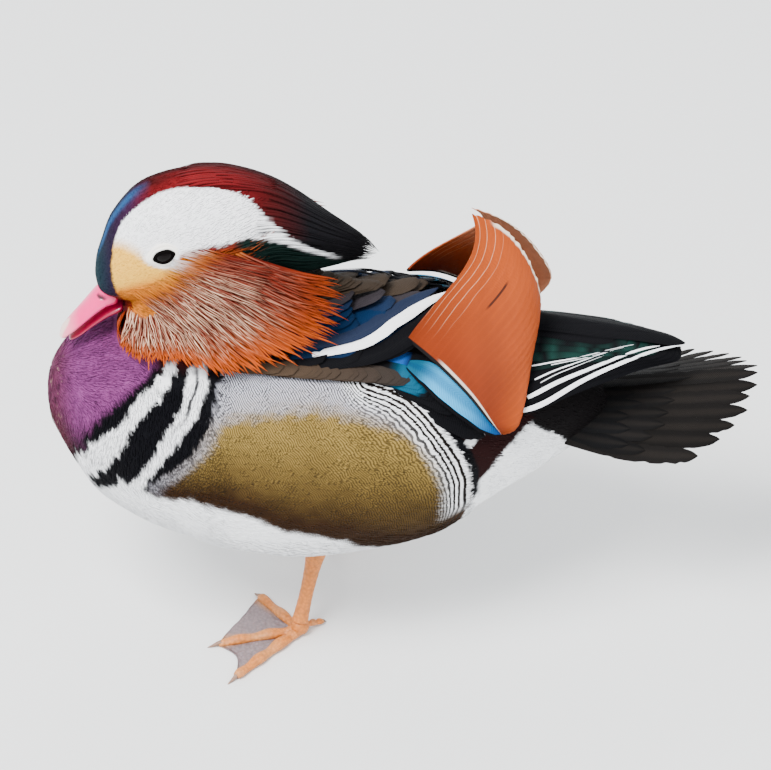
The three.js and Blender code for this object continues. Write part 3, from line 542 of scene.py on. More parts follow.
def line_phase(x, degrees):
    """The field of the lines at chart places, by weighing the four nearest of its grid."""
    xs, angles, field = LINES
    i = np.clip((x - xs[0]) / (xs[1] - xs[0]), 0, len(xs) - 1.001)
    j = np.clip((degrees - angles[0]) / (angles[1] - angles[0]), 0, len(angles) - 1.001)
    a, b = i.astype(int), j.astype(int)
    u, v = i - a, j - b
    return ((field[a, b] * (1 - u) + field[a + 1, b] * u) * (1 - v)
            + (field[a, b + 1] * (1 - u) + field[a + 1, b + 1] * u) * v)


def breast_plumage(points, x, degrees, rough, past):
    """The breast, dark in front, darker below as painted shade, then white, black, white and black bars."""
    # The purple darkens towards the underside: painted shade.
    colour = blend(PURPLE, PURPLE_LOW, smoothstep(degrees, 34, -24))
    colour = blend(colour, BREAST_FRONT, smoothstep(x, -152, -165) * 0.8)
    colour = colour * (1 + 0.16 * ripple(points, 9, 5) + 0.1 * ripple(points, 1.6, 15))[..., None]
    speckle = smoothstep(ripple(points, 2.2, 6) - 0.85, 0, 0.2) * smoothstep(x, -158, -165)
    colour = blend(colour, BREAST_SPECKLE, speckle * 0.6)
    colour = blend(colour, BLACK, past(PURPLE_EDGE, 1.6, 3.0))
    colour = blend(colour, WHITE, past(BAR_ONE[0], 1.3))
    # Dark streaks over the first white bar, stronger lower down.
    dark_streaks = smoothstep(ripple(points * np.array([1, 0.4, 0.3]), 2.4, 18) - 0.75, 0, 0.3)
    colour = blend(colour, BLACK, dark_streaks * 0.5 * smoothstep(degrees, 66, 40))
    colour = blend(colour, BLACK, past(BAR_ONE[1], 2.4))
    colour = blend(colour, WHITE, past(BAR_TWO[0], 1.1) * smoothstep(degrees, 74, 68))
    parted = smoothstep(np.abs(x - edge_x(BAR_TWO[1], degrees) + 5.0 + rough * 0.5), 1.2, 0.5)
    colour = blend(colour, BLACK, parted * smoothstep(degrees, 24, 40) * 0.95)
    return blend(colour, BLACK, past(BAR_TWO[1], 1.1))


def flank_foot(x):
    """The angle of the flank's lower edge, rising again behind."""
    behind = np.interp(x, [-40, -28, -14, 4, 20, 36], [-19.3, -25, -38, -52, -50, -34])
    return np.where(x > -40, behind, edge_angle(FLANK_FOOT, x))


def flank_plumage(points, x, degrees, rough, rear):
    """The flank, brown at its foot, gold, then grey, and white under the bold lines of its rear edge; and the
    strength of its fine lines."""
    height = degrees + rough * 2.4
    foot = flank_foot(x)
    brown = np.maximum(edge_angle(BROWN_TOP, x), foot + 8)
    grey = edge_angle(GREY_FOOT, x)
    level = np.where(height < brown, (height - foot) / (brown - foot),
                     np.where(height < grey, 1 + (height - brown) / (grey - brown), 2 + (height - grey) / 25))
    colour = ramp(level, [
        (-0.5, BROWN * 0.6), (0.4, BROWN), (0.9, blend(BROWN, GOLD, 0.25)), (1.3, blend(BROWN, GOLD, 0.62)),
        (1.7, GOLD), (1.98, GOLD * 1.15), (2.25, blend(GOLD, GREY, 0.7)), (2.6, GREY), (3.0, GREY),
    ])
    streaks = ripple(points * np.array([0.3, 0.6, 1.0]), 3.5, 11) * smoothstep(level, 2.3, 1.6)
    colour = colour * (1 + 0.12 * streaks)[..., None]
    lines = np.interp(level, [0, 1, 1.8, 2.2, 2.6, 3], [0.62, 0.66, 0.66, 0.78, 0.95, 0.97])
    front = smoothstep(x - edge_x(FLANK_FRONT, degrees), 9, 2) * smoothstep(degrees, -12, 0)
    colour = blend(colour, GREY * 0.7, front * 0.6)
    bold = smoothstep(rear, 17, 8) * smoothstep(degrees, -30, -18)
    return blend(colour, WHITE, bold), lines + (1 - lines) * bold


def flank_phase(points, x, degrees, rear):
    """The phase of the fine lines, a little wavy, that of the bold ones by the rear edge."""
    phase = line_phase(x, degrees)
    phase = phase + (-bold_phase(rear) - phase) * smoothstep(rear, 11, 7)
    wave = 0.5 * ripple(points, 7, 21) + 0.16 * ripple(points, 2.6, 22)
    return phase + wave * (1 - 0.94 * smoothstep(rear, 18, 5))


def rear_plumage(x, degrees, rough, rear):
    """Behind the flank: dark above, a lone white line and a white moon, and pale under the tail."""
    colour = ramp(degrees, [(-30, BELLY), (-22, BELLY), (-18, MAROON), (30, MAROON), (40, RUMP), (90, RUMP)])
    colour = blend(colour, BLACK, smoothstep(rear, -4.6, -3.2) * smoothstep(degrees, -26, -20))
    vent = x - edge_x(VENT_EDGE, degrees)
    colour = blend(colour, RUMP * 0.6, smoothstep(vent, -1, 2))
    lone = line_distance((x, degrees), LONE_LINE, ARC)
    colour = blend(colour, WHITE, smoothstep(lone, 0.75, 0.4))
    undertail = smoothstep(vent + rough * 1.2, -1.2, 1.2)
    below = smoothstep(degrees - edge_angle(VENT_TOP, x) + rough * 3, 2, -2)
    colour = blend(colour, BELLY, undertail * below)
    moon = smoothstep(polygon_distance((x, degrees), MOON, ARC) + rough * 0.2, -0.4, 0.6)
    return blend(colour, WHITE, moon)


def belly_foot(x):
    """The angle where the white of the belly begins, from the breast back."""
    front_low = np.interp(x, [-158, -150, -141, -132], [-98, -50, -24, -10])
    return np.where(x < -134, front_low,
                    np.where(x < -122, edge_angle(FLANK_FOOT, -122 + 0 * x), flank_foot(x)))


def body_plumage(points, edge=1.0):
    """Colour, strength of the fine lines and their phase, for points of the body."""
    x, degrees = chart(torso_rows, points)
    rough = ripple(points, 5, 3) * 0.5 + ripple(points, 1.7, 4) * 0.35
    along_bar = ripple(points * np.array([1, 0.5, 0.35]), 3.2, 8)
    rear = polygon_distance((x, degrees), REAR_REGION, ARC)

    def past(curve, grain=1.0, wide=edge):
        return smoothstep(x - edge_x(curve, degrees) + (rough * 0.6 + along_bar * 0.7) * grain, -wide, wide)

    colour = breast_plumage(points, x, degrees, rough, past)
    inside = past(FLANK_FRONT, 1.3, 1.4)
    flank, lines = flank_plumage(points, x, degrees, rough, rear)
    colour = blend(colour, flank, inside)
    bars = lines * inside
    beyond = smoothstep(rear, 0.25, -0.25)
    colour = blend(colour, rear_plumage(x, degrees, rough, rear), beyond)
    bars = bars * (1 - beyond)
    top = smoothstep(degrees - np.interp(x, FLANK_TOP[:, 0], FLANK_TOP[:, 1]), 2, 6) * smoothstep(x, -88, -80)
    colour = blend(colour, BACK_BROWN, top * (1 - beyond))
    bars = bars * (1 - top)
    belly = smoothstep(belly_foot(x) - degrees + rough * 2.0, -2.2, 2.2)
    colour = blend(colour, BELLY, belly)
    return colour, bars * (1 - belly), flank_phase(points, x, degrees, rear)


MOON = body_places([(464, 443), (470, 437), (477, 431), (487, 430), (480, 437), (475, 446), (469, 450)])
FACE = np.vstack([
    head_places([(111, 264), (114, 240), (121, 222), (138, 205), (156, 193), (176, 187), (196, 186),
                 (215, 186), (234, 192), (247, 199), (259, 211), (270, 222), (284, 234), (301, 242),
                 (320, 250), (349, 257), (366, 260), (343, 261), (320, 257), (301, 252), (282, 245),
                 (263, 240), (247, 240), (234, 244), (219, 248), (196, 251), (181, 256)]),
    [(-106, 3), (-103, -10), (-106, -30), (-114, -52), (-124, -64), (-132, -52), (-134.5, -28),
     (-136.2, 5)],
])
GREEN = head_places([
    (234, 244), (247, 240), (263, 240), (282, 245), (301, 252), (320, 257), (343, 261), (352, 264),
    (336, 275), (320, 283), (301, 285), (280, 282), (262, 268), (246, 255),
])
HEAD_ARC = 0.5


def crown_plumage(x, degrees, rough, far):
    """The cap: brick red at its sides, blue to dark red on top and, as painted shade, nearly black on the far
    side; and the rusty cheek below it."""
    beside = ramp(x, [
        (-143, CROWN_TEAL), (-137, paint(30, 24, 44)), (-126, paint(54, 24, 52)), (-116, BRICK * 0.8),
        (-98, BRICK * 1.1), (-78, BRICK * 0.8), (-60, CROWN_DARK), (-46, CREST_BLACK * 1.5),
        (-10, CREST_BLACK),
    ])
    between = ramp(x, [
        (-143, CROWN_TEAL), (-138, CROWN_BLUE), (-126, CROWN_BLUE * 0.9), (-116, CROWN_DARK),
        (-98, CROWN_DARK * 1.2), (-72, CROWN_DARK * 0.8), (-54, CREST_BLACK), (-10, CREST_BLACK),
    ])
    middle = ramp(x, [
        (-143, CROWN_TEAL), (-134, CROWN_TEAL * 0.8), (-120, CROWN_BLACK * 0.8), (-90, CROWN_BLACK),
        (-60, CREST_BLACK), (-10, CREST_BLACK),
    ])
    lower = ramp(x, [
        (-136, RUST_DARK), (-116, CHEEK_ORANGE * 0.6), (-102, CHEEK_ORANGE * 0.7),
        (-88, blend(CHEEK_ORANGE * 0.5, RUST, 0.6)), (-70, RUST_DARK * 0.8), (-58, CHEEK_GREEN),
    ])
    height = degrees + rough * 3
    colour = blend(beside, between, smoothstep(height, 74, 90) * smoothstep(x, -100, -118))
    colour = blend(colour, between, smoothstep(height, 84, 96))
    colour = blend(colour, middle, smoothstep(height, 92, 108))
    # Painted shade: the far side is darkened towards the nearly black middle.
    colour = blend(colour, middle, far * smoothstep(degrees, 52, 60) * 0.8)
    cheek = smoothstep(degrees, 12, 4) * smoothstep(x, -136, -131) * smoothstep(x, -52, -60)
    colour = blend(colour, lower, cheek)
    return blend(colour, CREST_BLACK, smoothstep(x, -62, -54) * smoothstep(degrees, 10, 0))


def face_plumage(points, straight, x, degrees):
    """The white of the face, yellow before the eye and orange below it, with a white rim round the eye."""
    front = smoothstep(x, -92, -100)
    yellow_top = np.interp(x, [-138, -130, -122, -112, -104], [54, 34, 14, 1, 4])
    orange_top = np.interp(x, [-138, -126, -112, -104], [-22, -15, -10, -1])
    yellow = smoothstep(degrees - yellow_top, 12, -8) * front
    warm = smoothstep(degrees - orange_top, 11, -10) * front
    colour = blend(np.broadcast_to(WHITE, points.shape), LORE, yellow * 0.96)
    colour = blend(colour, CHEEK_ORANGE, warm * 0.9)
    ahead, above_eye = straight[..., 0] - EYE[0], straight[..., 2] - EYE[2]
    rim = smoothstep(np.hypot((ahead + 0.5) / 9.5, (above_eye + 0.6) / 6.6), 1.1, 0.86)
    return blend(colour, WHITE, rim * 0.95)


def head_plumage(points, edge=0.6):
    """Colour for points of the head and the crest."""
    straight = turn_head(points, back=True)
    x, degrees = chart(crown_rows, straight)
    rough = ripple(points, 3, 13) * 0.35 + ripple(points, 1.1, 14) * 0.3
    far = smoothstep(straight[..., 1], 0, 6)
    colour = crown_plumage(x, degrees, rough, far)
    reach = degrees + 11 * far * smoothstep(degrees, 35, 55)
    narrow = 1.1 * smoothstep(x, -68, -46)
    face = smoothstep(polygon_distance((x, reach), FACE, HEAD_ARC) + rough * 0.4 - narrow, -edge, edge)
    face = face * smoothstep(x, -30, -37)
    colour = blend(colour, face_plumage(points, straight, x, degrees), face)
    green = smoothstep(polygon_distance((x, degrees), GREEN, HEAD_ARC) + rough * 0.4, -edge, edge)
    colour = blend(colour, CHEEK_GREEN, green * (1 - face))
    throat = smoothstep(degrees, -40, -52) * smoothstep(x, -96, -110)
    return blend(colour, RUST, throat * (1 - face))


def head_share(points):
    """1 on the head, 0 on the body, by the height over a slope that drops behind the bill."""
    return smoothstep(points[..., 2] - np.interp(points[..., 0], [-150, -110, -60], [176, 184, 192]), -3, 3)


def plumage(points, edge=1.0):
    """Colour, strength of the fine lines and their phase, anywhere on the skin or the coat."""
    colour, bars, phase = body_plumage(points, edge)
    share = head_share(points)
    colour = blend(colour, head_plumage(points, edge * 0.6), share)
    neck = smoothstep(points[..., 2], 158, 170) * (1 - share) * smoothstep(points[..., 0], -56, -66)
    colour = blend(colour, RUST_DARK * 0.7, neck)
    return colour, bars * (1 - share) * (1 - neck), phase


# Vanes: closed blades along a path

def catmull_lines(tracks, stations):
    """Smooth lines through the few places of each track, at even shares of the way. tracks is (count, places,
    sizes)."""
    dense = smooth_rows(np.moveaxis(np.asarray(tracks, float), 1, 0).reshape(np.shape(tracks)[1], -1), 8)
    place = np.linspace(0, len(dense) - 1, stations)
    low = np.minimum(place.astype(int), len(dense) - 2)
    rows = dense[low] + (dense[low + 1] - dense[low]) * (place - low)[:, None]
    return np.moveaxis(rows.reshape(stations, len(tracks), -1), 0, 1)


def lay(surface, tracks, stations, middle):
    """Paths of vanes over a surface and the way out from it. A track lists places [a, b, lift]; out is the
    square of the surface there, away from the middle."""
    lines = catmull_lines(tracks, stations)
    a, b, lift = lines[..., 0], lines[..., 1], lines[..., 2]
    here = surface(a, b)
    step = 0.01
    out = unit(np.cross(surface(a + step, b) - here, surface(a, b + step) - here))
    away = np.sum(out * (here - middle), -1, keepdims=True)
    out = np.where(away < 0, -out, out)
    return here + out * lift[..., None], out


def lay_on_body(tracks, stations):
    """Paths over the body and the way out from it."""
    return lay(body_at, tracks, stations, BODY_MIDDLE)


class Batch:
    """Vanes gathered for one mesh: points, faces and the numbers stored at each point."""

    def __init__(self):
        self.points, self.faces, self.stored, self.count = [], [], {}, 0

    def add(self, points, faces, **stored):
        self.points.append(points.reshape(-1, 3))
        self.faces.append(faces + self.count)
        for key, values in stored.items():
            self.stored.setdefault(key, []).append(np.asarray(values, float))
        self.count += len(self.points[-1])

    def mesh(self, name, mirrored=False, turned=False, sharp=None):
        points = np.vstack(self.points)
        faces = np.vstack(self.faces)
        if mirrored:
            points = points * np.array([1, -1, 1])
            faces = faces[:, ::-1]
        if turned:
            points = turn_head(points)
        mesh = make_mesh(name, points, faces)
        for key, values in self.stored.items():
            joined = np.concatenate(values)
            if key == "bake":
                set_uv(mesh, "OFBake", joined)
            elif joined.ndim == 2:
                set_colour(mesh, key, joined)
            else:
                set_number(mesh, key, joined)
        if sharp:
            mesh.set_sharp_from_angle(angle=math.radians(sharp))
        return mesh


def vane_faces(count, stations, ring):
    """Triangles of closed vanes: quads between rings and a fan at each end."""
    quads = grid_faces(stations, ring, True)[:, ::-1]
    k = np.arange(1, ring - 1)
    root = np.stack([0 * k, k, k + 1], -1)
    last = (stations - 1) * ring
    tip = np.stack([last + 0 * k, last + k + 1, last + k], -1)
    one = np.vstack([split(quads), root, tip])
    return (one[None] + (np.arange(count) * stations * ring)[:, None, None]).reshape(-1, 3)


BARB_SLOPE = 0.8
BAKE_PATCH = 0.003


def add_vanes(batch, path, out, width, thick, tint, columns=5, cup=0.0, tilt=0.0, fray=0.0, streak=None,
              share=0.0, bars=0.0, phase=0.0, bake=None, pitch=0.9):
    """Adds one vane a path. Across a vane u runs from -1 to 1: its height is cup times (1 - u^2), its
    thickness goes with the root of 1 - u^2, and barbs run from the shaft forward to the edges. tint and
    streak are colours for each vane or for each station of it."""
    count, stations = path.shape[:2]
    way = unit(np.gradient(path, axis=1))
    across = unit(np.cross(out, way))
    up = np.cross(way, across)
    angle = np.radians(np.broadcast_to(np.asarray(tilt, float), (count,)))[:, None, None]
    across, up = across * np.cos(angle) + up * np.sin(angle), up * np.cos(angle) - across * np.sin(angle)
    u = np.linspace(-1, 1, columns)
    order, side = np.arange(3), np.ones(3)
    if columns > 3:
        order = np.concatenate([np.arange(columns), np.arange(columns - 2, 0, -1)])
        side = np.concatenate([np.ones(columns), -np.ones(columns - 2)])
    u = u[order]
    width = np.broadcast_to(np.asarray(width, float), (count, stations))
    half = width[..., None] / 2 * np.ones(len(u))
    if fray:
        nick = draw.random((count, stations, 2)) ** 3 * fray
        nick = np.where(np.linspace(0, 1, stations)[None, :, None] < 0.3, 0, nick)
        half = half * (1 - np.where(u < 0, nick[..., :1], nick[..., 1:]))
    bow = 1 - u**2
    thick = np.broadcast_to(np.asarray(thick, float), (count, stations))[..., None]
    height = cup * width[..., None] * (bow - 0.5) + side * thick / 2 * np.sqrt(bow)
    points = (path[:, :, None] + across[:, :, None] * (half * u)[..., None]
              + up[:, :, None] * height[..., None])
    ring = len(u)
    share_along = np.linspace(0, 1, stations)[None, :, None] * np.ones((count, 1, ring))
    length = np.linalg.norm(np.diff(path, axis=1), axis=-1).sum(1)[:, None, None]

    def colours(values):
        values = np.asarray(values, float)
        values = values[:, None] if values.ndim == 2 else values
        return np.repeat(np.broadcast_to(values, (count, stations, 3))[:, :, None], ring, 2).reshape(-1, 3)

    def numbers(values):
        values = np.asarray(values, float)
        values = values.reshape(values.shape + (1,) * (3 - values.ndim))
        return np.broadcast_to(values, (count, stations, ring)).ravel()

    stored = {
        "tint": colours(tint),
        "streak": colours(tint if streak is None else streak),
        "share": numbers(share),
        "across": (u * np.ones((count, stations, 1))).ravel(),
        "barb": ((share_along * length - np.abs(u) * half * BARB_SLOPE) / pitch).ravel(),
        "bars": numbers(bars),
        "phase": numbers(phase),
    }
    if bake is not None:
        patch = np.stack([u / 2 + 0 * share_along, share_along - 0.5], -1) * BAKE_PATCH
        stored["bake"] = (bake[:, None, None] + patch).reshape(-1, 2)
    batch.add(points, vane_faces(count, stations, ring), **stored)


def shaped(stations, shape):
    """The width of a vane at its stations, from [place, width] pairs."""
    shape = np.array(shape, float)
    return np.interp(np.linspace(0, 1, stations), shape[:, 0], shape[:, 1])


ROUNDED = [(0, 0.5), (0.4, 0.95), (0.72, 1), (0.88, 0.82), (0.96, 0.5), (1, 0.1)]
POINTED = [(0, 0.5), (0.35, 0.9), (0.6, 1), (0.85, 0.66), (1, 0.06)]
LONG = [(0, 0.7), (0.3, 1), (0.84, 0.92), (0.95, 0.6), (1, 0.08)]
LOCK = [(0, 0.5), (0.35, 1), (0.75, 0.75), (1, 0.05)]


# Materials

class Value:
    """A socket of a material; arithmetic on it adds nodes that work it out."""

    def __init__(self, made, socket):
        self.made, self.socket = made, socket

    def math(self, operation, *others):
        return self.made.math(operation, self, *others)

    def __add__(self, other):
        return self.math("ADD", other)

    __radd__ = __add__

    def __sub__(self, other):
        return self.math("SUBTRACT", other)

    def __rsub__(self, other):
        return self.made.math("SUBTRACT", other, self)

    def __mul__(self, other):
        return self.math("MULTIPLY", other)

    __rmul__ = __mul__

    def sin(self):
        return self.math("SINE")

    def size(self):
        return self.math("ABSOLUTE")


class Finish:
    """One material and the nodes that are added to it."""

    def __init__(self, name):
        self.material = bpy.data.materials.new(name)
        self.material.use_nodes = True
        self.tree = self.material.node_tree
        self.shader = self.tree.nodes["Principled BSDF"]

    def node(self, kind, values=(), output=0, **settings):
        node = self.tree.nodes.new(kind)
        for key, value in settings.items():
            setattr(node, key, value)
        for key, value in dict(values).items():
            self.plug(value, node.inputs[key])
        return Value(self, node.outputs[output])

    def plug(self, value, socket):
        if isinstance(value, Value):
            self.tree.links.new(value.socket, socket)
        elif isinstance(value, (tuple, list, np.ndarray)):
            value = tuple(float(v) for v in value)
            opaque = len(socket.default_value) == 4 and len(value) == 3
            socket.default_value = value + (1.0,) if opaque else value
        else:
            socket.default_value = value

    def math(self, operation, *terms):
        return self.node("ShaderNodeMath", enumerate(terms), operation=operation)

    def number(self, name):
        return self.node("ShaderNodeAttribute", output="Fac", attribute_name=name)

    def colour(self, name):
        return self.node("ShaderNodeAttribute", output="Color", attribute_name=name)

    def place(self):
        return self.node("ShaderNodeTexCoord", output="Object")

    def noise(self, scale, detail=2.0, stretch=None):
        where = self.place()
        if stretch is not None:
            where = self.node("ShaderNodeVectorMath", {0: where, 1: stretch}, operation="MULTIPLY")
        return self.node("ShaderNodeTexNoise", {"Vector": where, "Scale": scale, "Detail": detail},
                         output="Fac")

    def step(self, value, low, high):
        return self.node("ShaderNodeMapRange", {"Value": value, "From Min": low, "From Max": high},
                         interpolation_type="SMOOTHSTEP")

    def mix(self, share, first, second):
        return self.node("ShaderNodeMix", {0: share, 6: first, 7: second}, output=2, data_type="RGBA")

    def scale(self, colour, factor):
        return self.node("ShaderNodeVectorMath", {0: colour, "Scale": factor}, operation="SCALE")

    def bump(self, height, distance):
        return self.node("ShaderNodeBump", {"Height": height, "Distance": distance, "Strength": 1.0})

    def set(self, **values):
        names = {"colour": "Base Color", "roughness": "Roughness", "normal": "Normal", "coat": "Coat Weight",
                 "coat_roughness": "Coat Roughness", "specular": "Specular IOR Level",
                 "subsurface": "Subsurface Weight", "subsurface_scale": "Subsurface Scale"}
        for key, value in values.items():
            self.plug(value, self.shader.inputs[names[key]])
        return self.material


def barred(made, base):
    """A colour with the fine dark lines over it, by their phase and strength."""
    wobble = made.noise(260.0) - 0.5
    wave = ((made.number("phase") + wobble * 0.3) * (2 * math.pi)).sin()
    return made.mix(made.step(wave, -0.25, 0.4) * made.number("bars"), base, tuple(LINE_DARK))


def plumage_finish(name, relief=0.0001, roughness=0.75, specular=0.05, grain=0.2):
    """Feathers: their own colour with a paler or darker shaft streak, fine dark lines by the phase, barbs."""
    made = Finish(name)
    across = made.number("across").size()
    streak = made.step(across, 0.62, 0.12) * made.number("share")
    base = barred(made, made.mix(streak, made.colour("tint"), made.colour("streak")))
    barb = (made.number("barb") * (2 * math.pi)).sin()
    patch = made.noise(90.0, 3.0)
    fine = made.noise(1500.0)
    light = 1.0 + (patch - 0.5) * grain + (fine - 0.5) * grain + barb * (grain * 0.3)
    base = made.scale(base, light)
    height = barb * 0.5 + fine * 0.8
    return made.set(colour=base, roughness=roughness, specular=specular, normal=made.bump(height, relief))


def skin_finish():
    """The skin: the coat's own colours over a bed of short strands that run back along the bird."""
    made = Finish("skin")
    strands = made.noise(1100.0, stretch=(0.25, 1.0, 1.0))
    base = made.scale(barred(made, made.colour("tint")), 0.72 + strands * 0.36)
    return made.set(colour=base, roughness=0.75, specular=0.05, normal=made.bump(strands, 0.0002))


def bill_finish():
    """Smooth horn with slight mottling."""
    made = Finish("bill")
    mottle = made.noise(400.0, 3.0)
    base = made.scale(made.colour("tint"), 1.0 + (mottle - 0.5) * 0.1)
    return made.set(colour=base, roughness=0.32, coat=0.35, coat_roughness=0.12,
                    normal=made.bump(mottle, 0.0001), subsurface=0.05, subsurface_scale=0.002)


# The skin: torso, neck and head as one closed surface

SKIN_DEPTH = 1.0
HEAD_DEPTH = 0.7
VOXEL = 1.3
SMOOTHING_ROUNDS = 6


def joined_skin():
    """One surface round the torso, the neck and the turned head, from a fine voxel grid, then smoothed."""
    torso = oval_rings(torso_rows, 96, -SKIN_DEPTH, swell=True)
    head = turn_head(oval_rings(head_rows, 72, -HEAD_DEPTH))
    neck_rows = smooth_rows(NECK, 4)
    angles = np.linspace(0, 2 * math.pi, 64, endpoint=False)
    neck = np.stack([neck_rows[:, 1:2] + (neck_rows[:, 2:3] - SKIN_DEPTH) * np.cos(angles),
                     (neck_rows[:, 3:4] - SKIN_DEPTH) * np.sin(angles),
                     neck_rows[:, 0:1] + 0 * angles], -1)
    parts = [bpy.data.objects.new(name, tube_mesh(name, rings))
             for name, rings in (("t", torso), ("h", head), ("n", turn_head(neck)))]
    for part in parts:
        bpy.context.scene.collection.objects.link(part)
    whole = parts[0]
    with bpy.context.temp_override(active_object=whole, selected_editable_objects=parts):
        bpy.ops.object.join()
    grid = whole.modifiers.new("grid", "REMESH")
    grid.mode = "VOXEL"
    grid.voxel_size = VOXEL * MM
    soft = whole.modifiers.new("soft", "SMOOTH")
    soft.factor = 0.5
    soft.iterations = SMOOTHING_ROUNDS
    made = whole.evaluated_get(bpy.context.evaluated_depsgraph_get()).to_mesh()
    points = np.zeros(len(made.vertices) * 3)
    made.vertices.foreach_get("co", points)
    made.calc_loop_triangles()
    faces = np.zeros(len(made.loop_triangles) * 3, np.int32)
    made.loop_triangles.foreach_get("vertices", faces)
    bpy.data.objects.remove(whole)
    return points.reshape(-1, 3) / MM, faces.reshape(-1, 3)


skin_points, skin_faces = joined_skin()


def unwrap(points):
    """Places on an unwrap of the skin: along it and round it, the head beside the body."""
    on_head = head_share(points) > 0.5
    angle = np.arctan2(points[:, 2] - np.where(on_head, 214, 112), -points[:, 1]) / (2 * math.pi) + 0.5
    body = np.stack([0.01 + 0.6 * (points[:, 0] + 170) / 275, 0.01 + 0.98 * angle], -1)
    head = np.stack([0.64 + 0.34 * (points[:, 0] + 146) / 100, 0.01 + 0.98 * angle], -1)
    return np.where(on_head[:, None], head, body)


def make_skin():
    """The skin with its markings, in place of the torso, the neck and the head."""
    mesh = make_mesh("duck_skin", skin_points, skin_faces)
    colour, bars, phase = plumage(skin_points)
    set_colour(mesh, "tint", colour)
    set_number(mesh, "bars", bars)
    set_number(mesh, "phase", phase)
    set_uv(mesh, "UVMap", unwrap(skin_points))
    return add_piece(mesh, skin_finish(), ("torso", "neck", "head"))


# The coat: small vanes rooted all over the skin

def scattered(count, weight):
    """Seeded places on the skin, evenly by area times the weight of each face: points and the way out."""
    a, b, c = (skin_points[skin_faces[:, k]] for k in range(3))
    square = np.cross(b - a, c - a)
    area = np.linalg.norm(square, axis=1) * weight((a + b + c) / 3)
    picked = np.searchsorted(np.cumsum(area) / area.sum(), draw.random(count))
    u, v = draw.random((2, count))
    flip = u + v > 1
    u, v = np.where(flip, 1 - u, u), np.where(flip, 1 - v, v)
    place = a[picked] + (b - a)[picked] * u[:, None] + (c - a)[picked] * v[:, None]
    return place, unit(square[picked])


def lie(points, out):
    """The way a feather lies: backwards, falling a little; along the bars on the breast, and from the bill on
    the head."""
    on_head = head_share(points)[:, None]
    x, degrees = chart(torso_rows, points)
    body = np.array([1.0, 0, -0.3]) + 0 * out
    in_bars = (smoothstep(x - edge_x(PURPLE_EDGE, degrees), -14, 4)
               * smoothstep(x - edge_x(FLANK_FRONT, degrees), 8, -3) * smoothstep(degrees, -20, 0))
    down = np.array([0.15, 0, -1.0]) + 0.6 * np.stack([0 * x, -points[:, 1] / 60, 0 * x], -1)
    body = body + (down - body) * (in_bars[:, None] * 0.9)
    chest = smoothstep(points[:, 0], -128, -160)[:, None]
    body = body + chest * unit(points - np.array([-120.0, 0, 130.0])) * 0.5
    straight = turn_head(points, back=True)
    from_bill = unit(straight - np.array([-146.0, 0, 192.0]))
    head = turn_way(np.array([1.0, 0, 0.05]) * 0.6 + from_bill * 0.9)
    wanted = body + (head - body) * on_head
    return unit(wanted - out * np.sum(wanted * out, -1, keepdims=True))


def coat_piece(name, finish, count, weight, length, width, lift, vary=0.03, streak=None):
    """Small vanes of three sides: a low root, a raised middle and a tip. Length, width and lift are for each
    place. Each point of a vane takes the markings at its own place, drawn a little along the vane."""
    place, out = scattered(count, weight)
    way = lie(place, out)
    way = unit(way + np.cross(out, way) * draw.normal(0, 0.08, count)[:, None])
    size = length(place) * draw.uniform(0.75, 1.25, count)
    t = np.array([0, 0.38, 0.72, 1.0])
    bend = np.where(head_share(place) > 0.5, 1 / 30.0, 1 / 62.0)[:, None]
    rise = (lift(place) * draw.uniform(0.5, 1.3, count))[:, None] * np.sin(t * 2.3) - 0.25 * (1 - t) ** 2
    rise = rise - (t * size[:, None]) ** 2 / 2 * bend
    path = place[:, None] + way[:, None] * (t * size[:, None])[..., None] + out[:, None] * rise[..., None]
    wide = (width(place) * draw.uniform(0.8, 1.2, count))[:, None] * np.array([0.5, 1.0, 0.75, 0.08])
    drawn = path - way[:, None] * (size * draw.uniform(0.0, 0.35, count))[:, None, None]
    colour, _, _ = plumage(drawn.reshape(-1, 3))
    colour = colour.reshape(count, 4, 3) * (1 + draw.normal(0, vary, count))[:, None, None]
    _, bars, phase = plumage(path.reshape(-1, 3))
    share = 0.0
    if streak is not None:
        share = draw.uniform(0, 1, count)[:, None] ** 2 * np.array([0.2, 1, 0.6, 0])
    batch = Batch()
    add_vanes(batch, path, np.repeat(out[:, None], 4, 1), wide, wide * 0.08 + 0.03, colour, columns=3,
              bars=bars.reshape(count, 4), phase=phase.reshape(count, 4), bake=unwrap(place), streak=streak,
              share=share)
    return add_piece(batch.mesh(name), finish)


def open_body(points):
    """1 where the body's coat shows: below the wings, on the breast and under the tail."""
    x, degrees = chart(torso_rows, points)
    wing_edge = np.interp(x, [-100, -84, -6, 10, 20, 34, 47, 60], [90, 60, 54, 42, 30, 20, 26, 90])
    hidden = smoothstep(degrees - wing_edge, 2, 8) * smoothstep(x, -98, -88)
    neck = smoothstep(points[:, 2], 158, 164) * smoothstep(points[:, 0], -135, -128)
    return (1 - hidden) * (1 - 0.9 * neck) * (1 - head_share(points))


def head_coat(points):
    """1 on the head, less where the crest's locks lie, 0 at the eye."""
    straight = turn_head(points, back=True)
    eye = np.hypot((straight[:, 0] - EYE[0] + 1.0) / 7.6, (straight[:, 2] - EYE[2]) / 5.2)
    white = smoothstep(polygon_distance(chart(crown_rows, straight), FACE, HEAD_ARC), 0, 1)
    under_crest = smoothstep(straight[:, 0], -92, -84) * (1 - white * (straight[:, 0] < -72))
    return head_share(points) * (eye > 1) * (1 - 0.85 * under_crest)


def cheek_coat(points):
    """1 on the cheek below and behind the eye, from the bill back to the ruff."""
    straight = turn_head(points, back=True)
    x, degrees = chart(crown_rows, straight)
    top = np.interp(x, [-136, -122, -112, -104, -84, -74], [-30, -18, -10, 6, 9, 10])
    between = smoothstep(x, -138, -130) * smoothstep(x, -64, -72)
    return head_coat(points) * smoothstep(degrees - top, 2, -4) * between


# Ruff, crest and wings

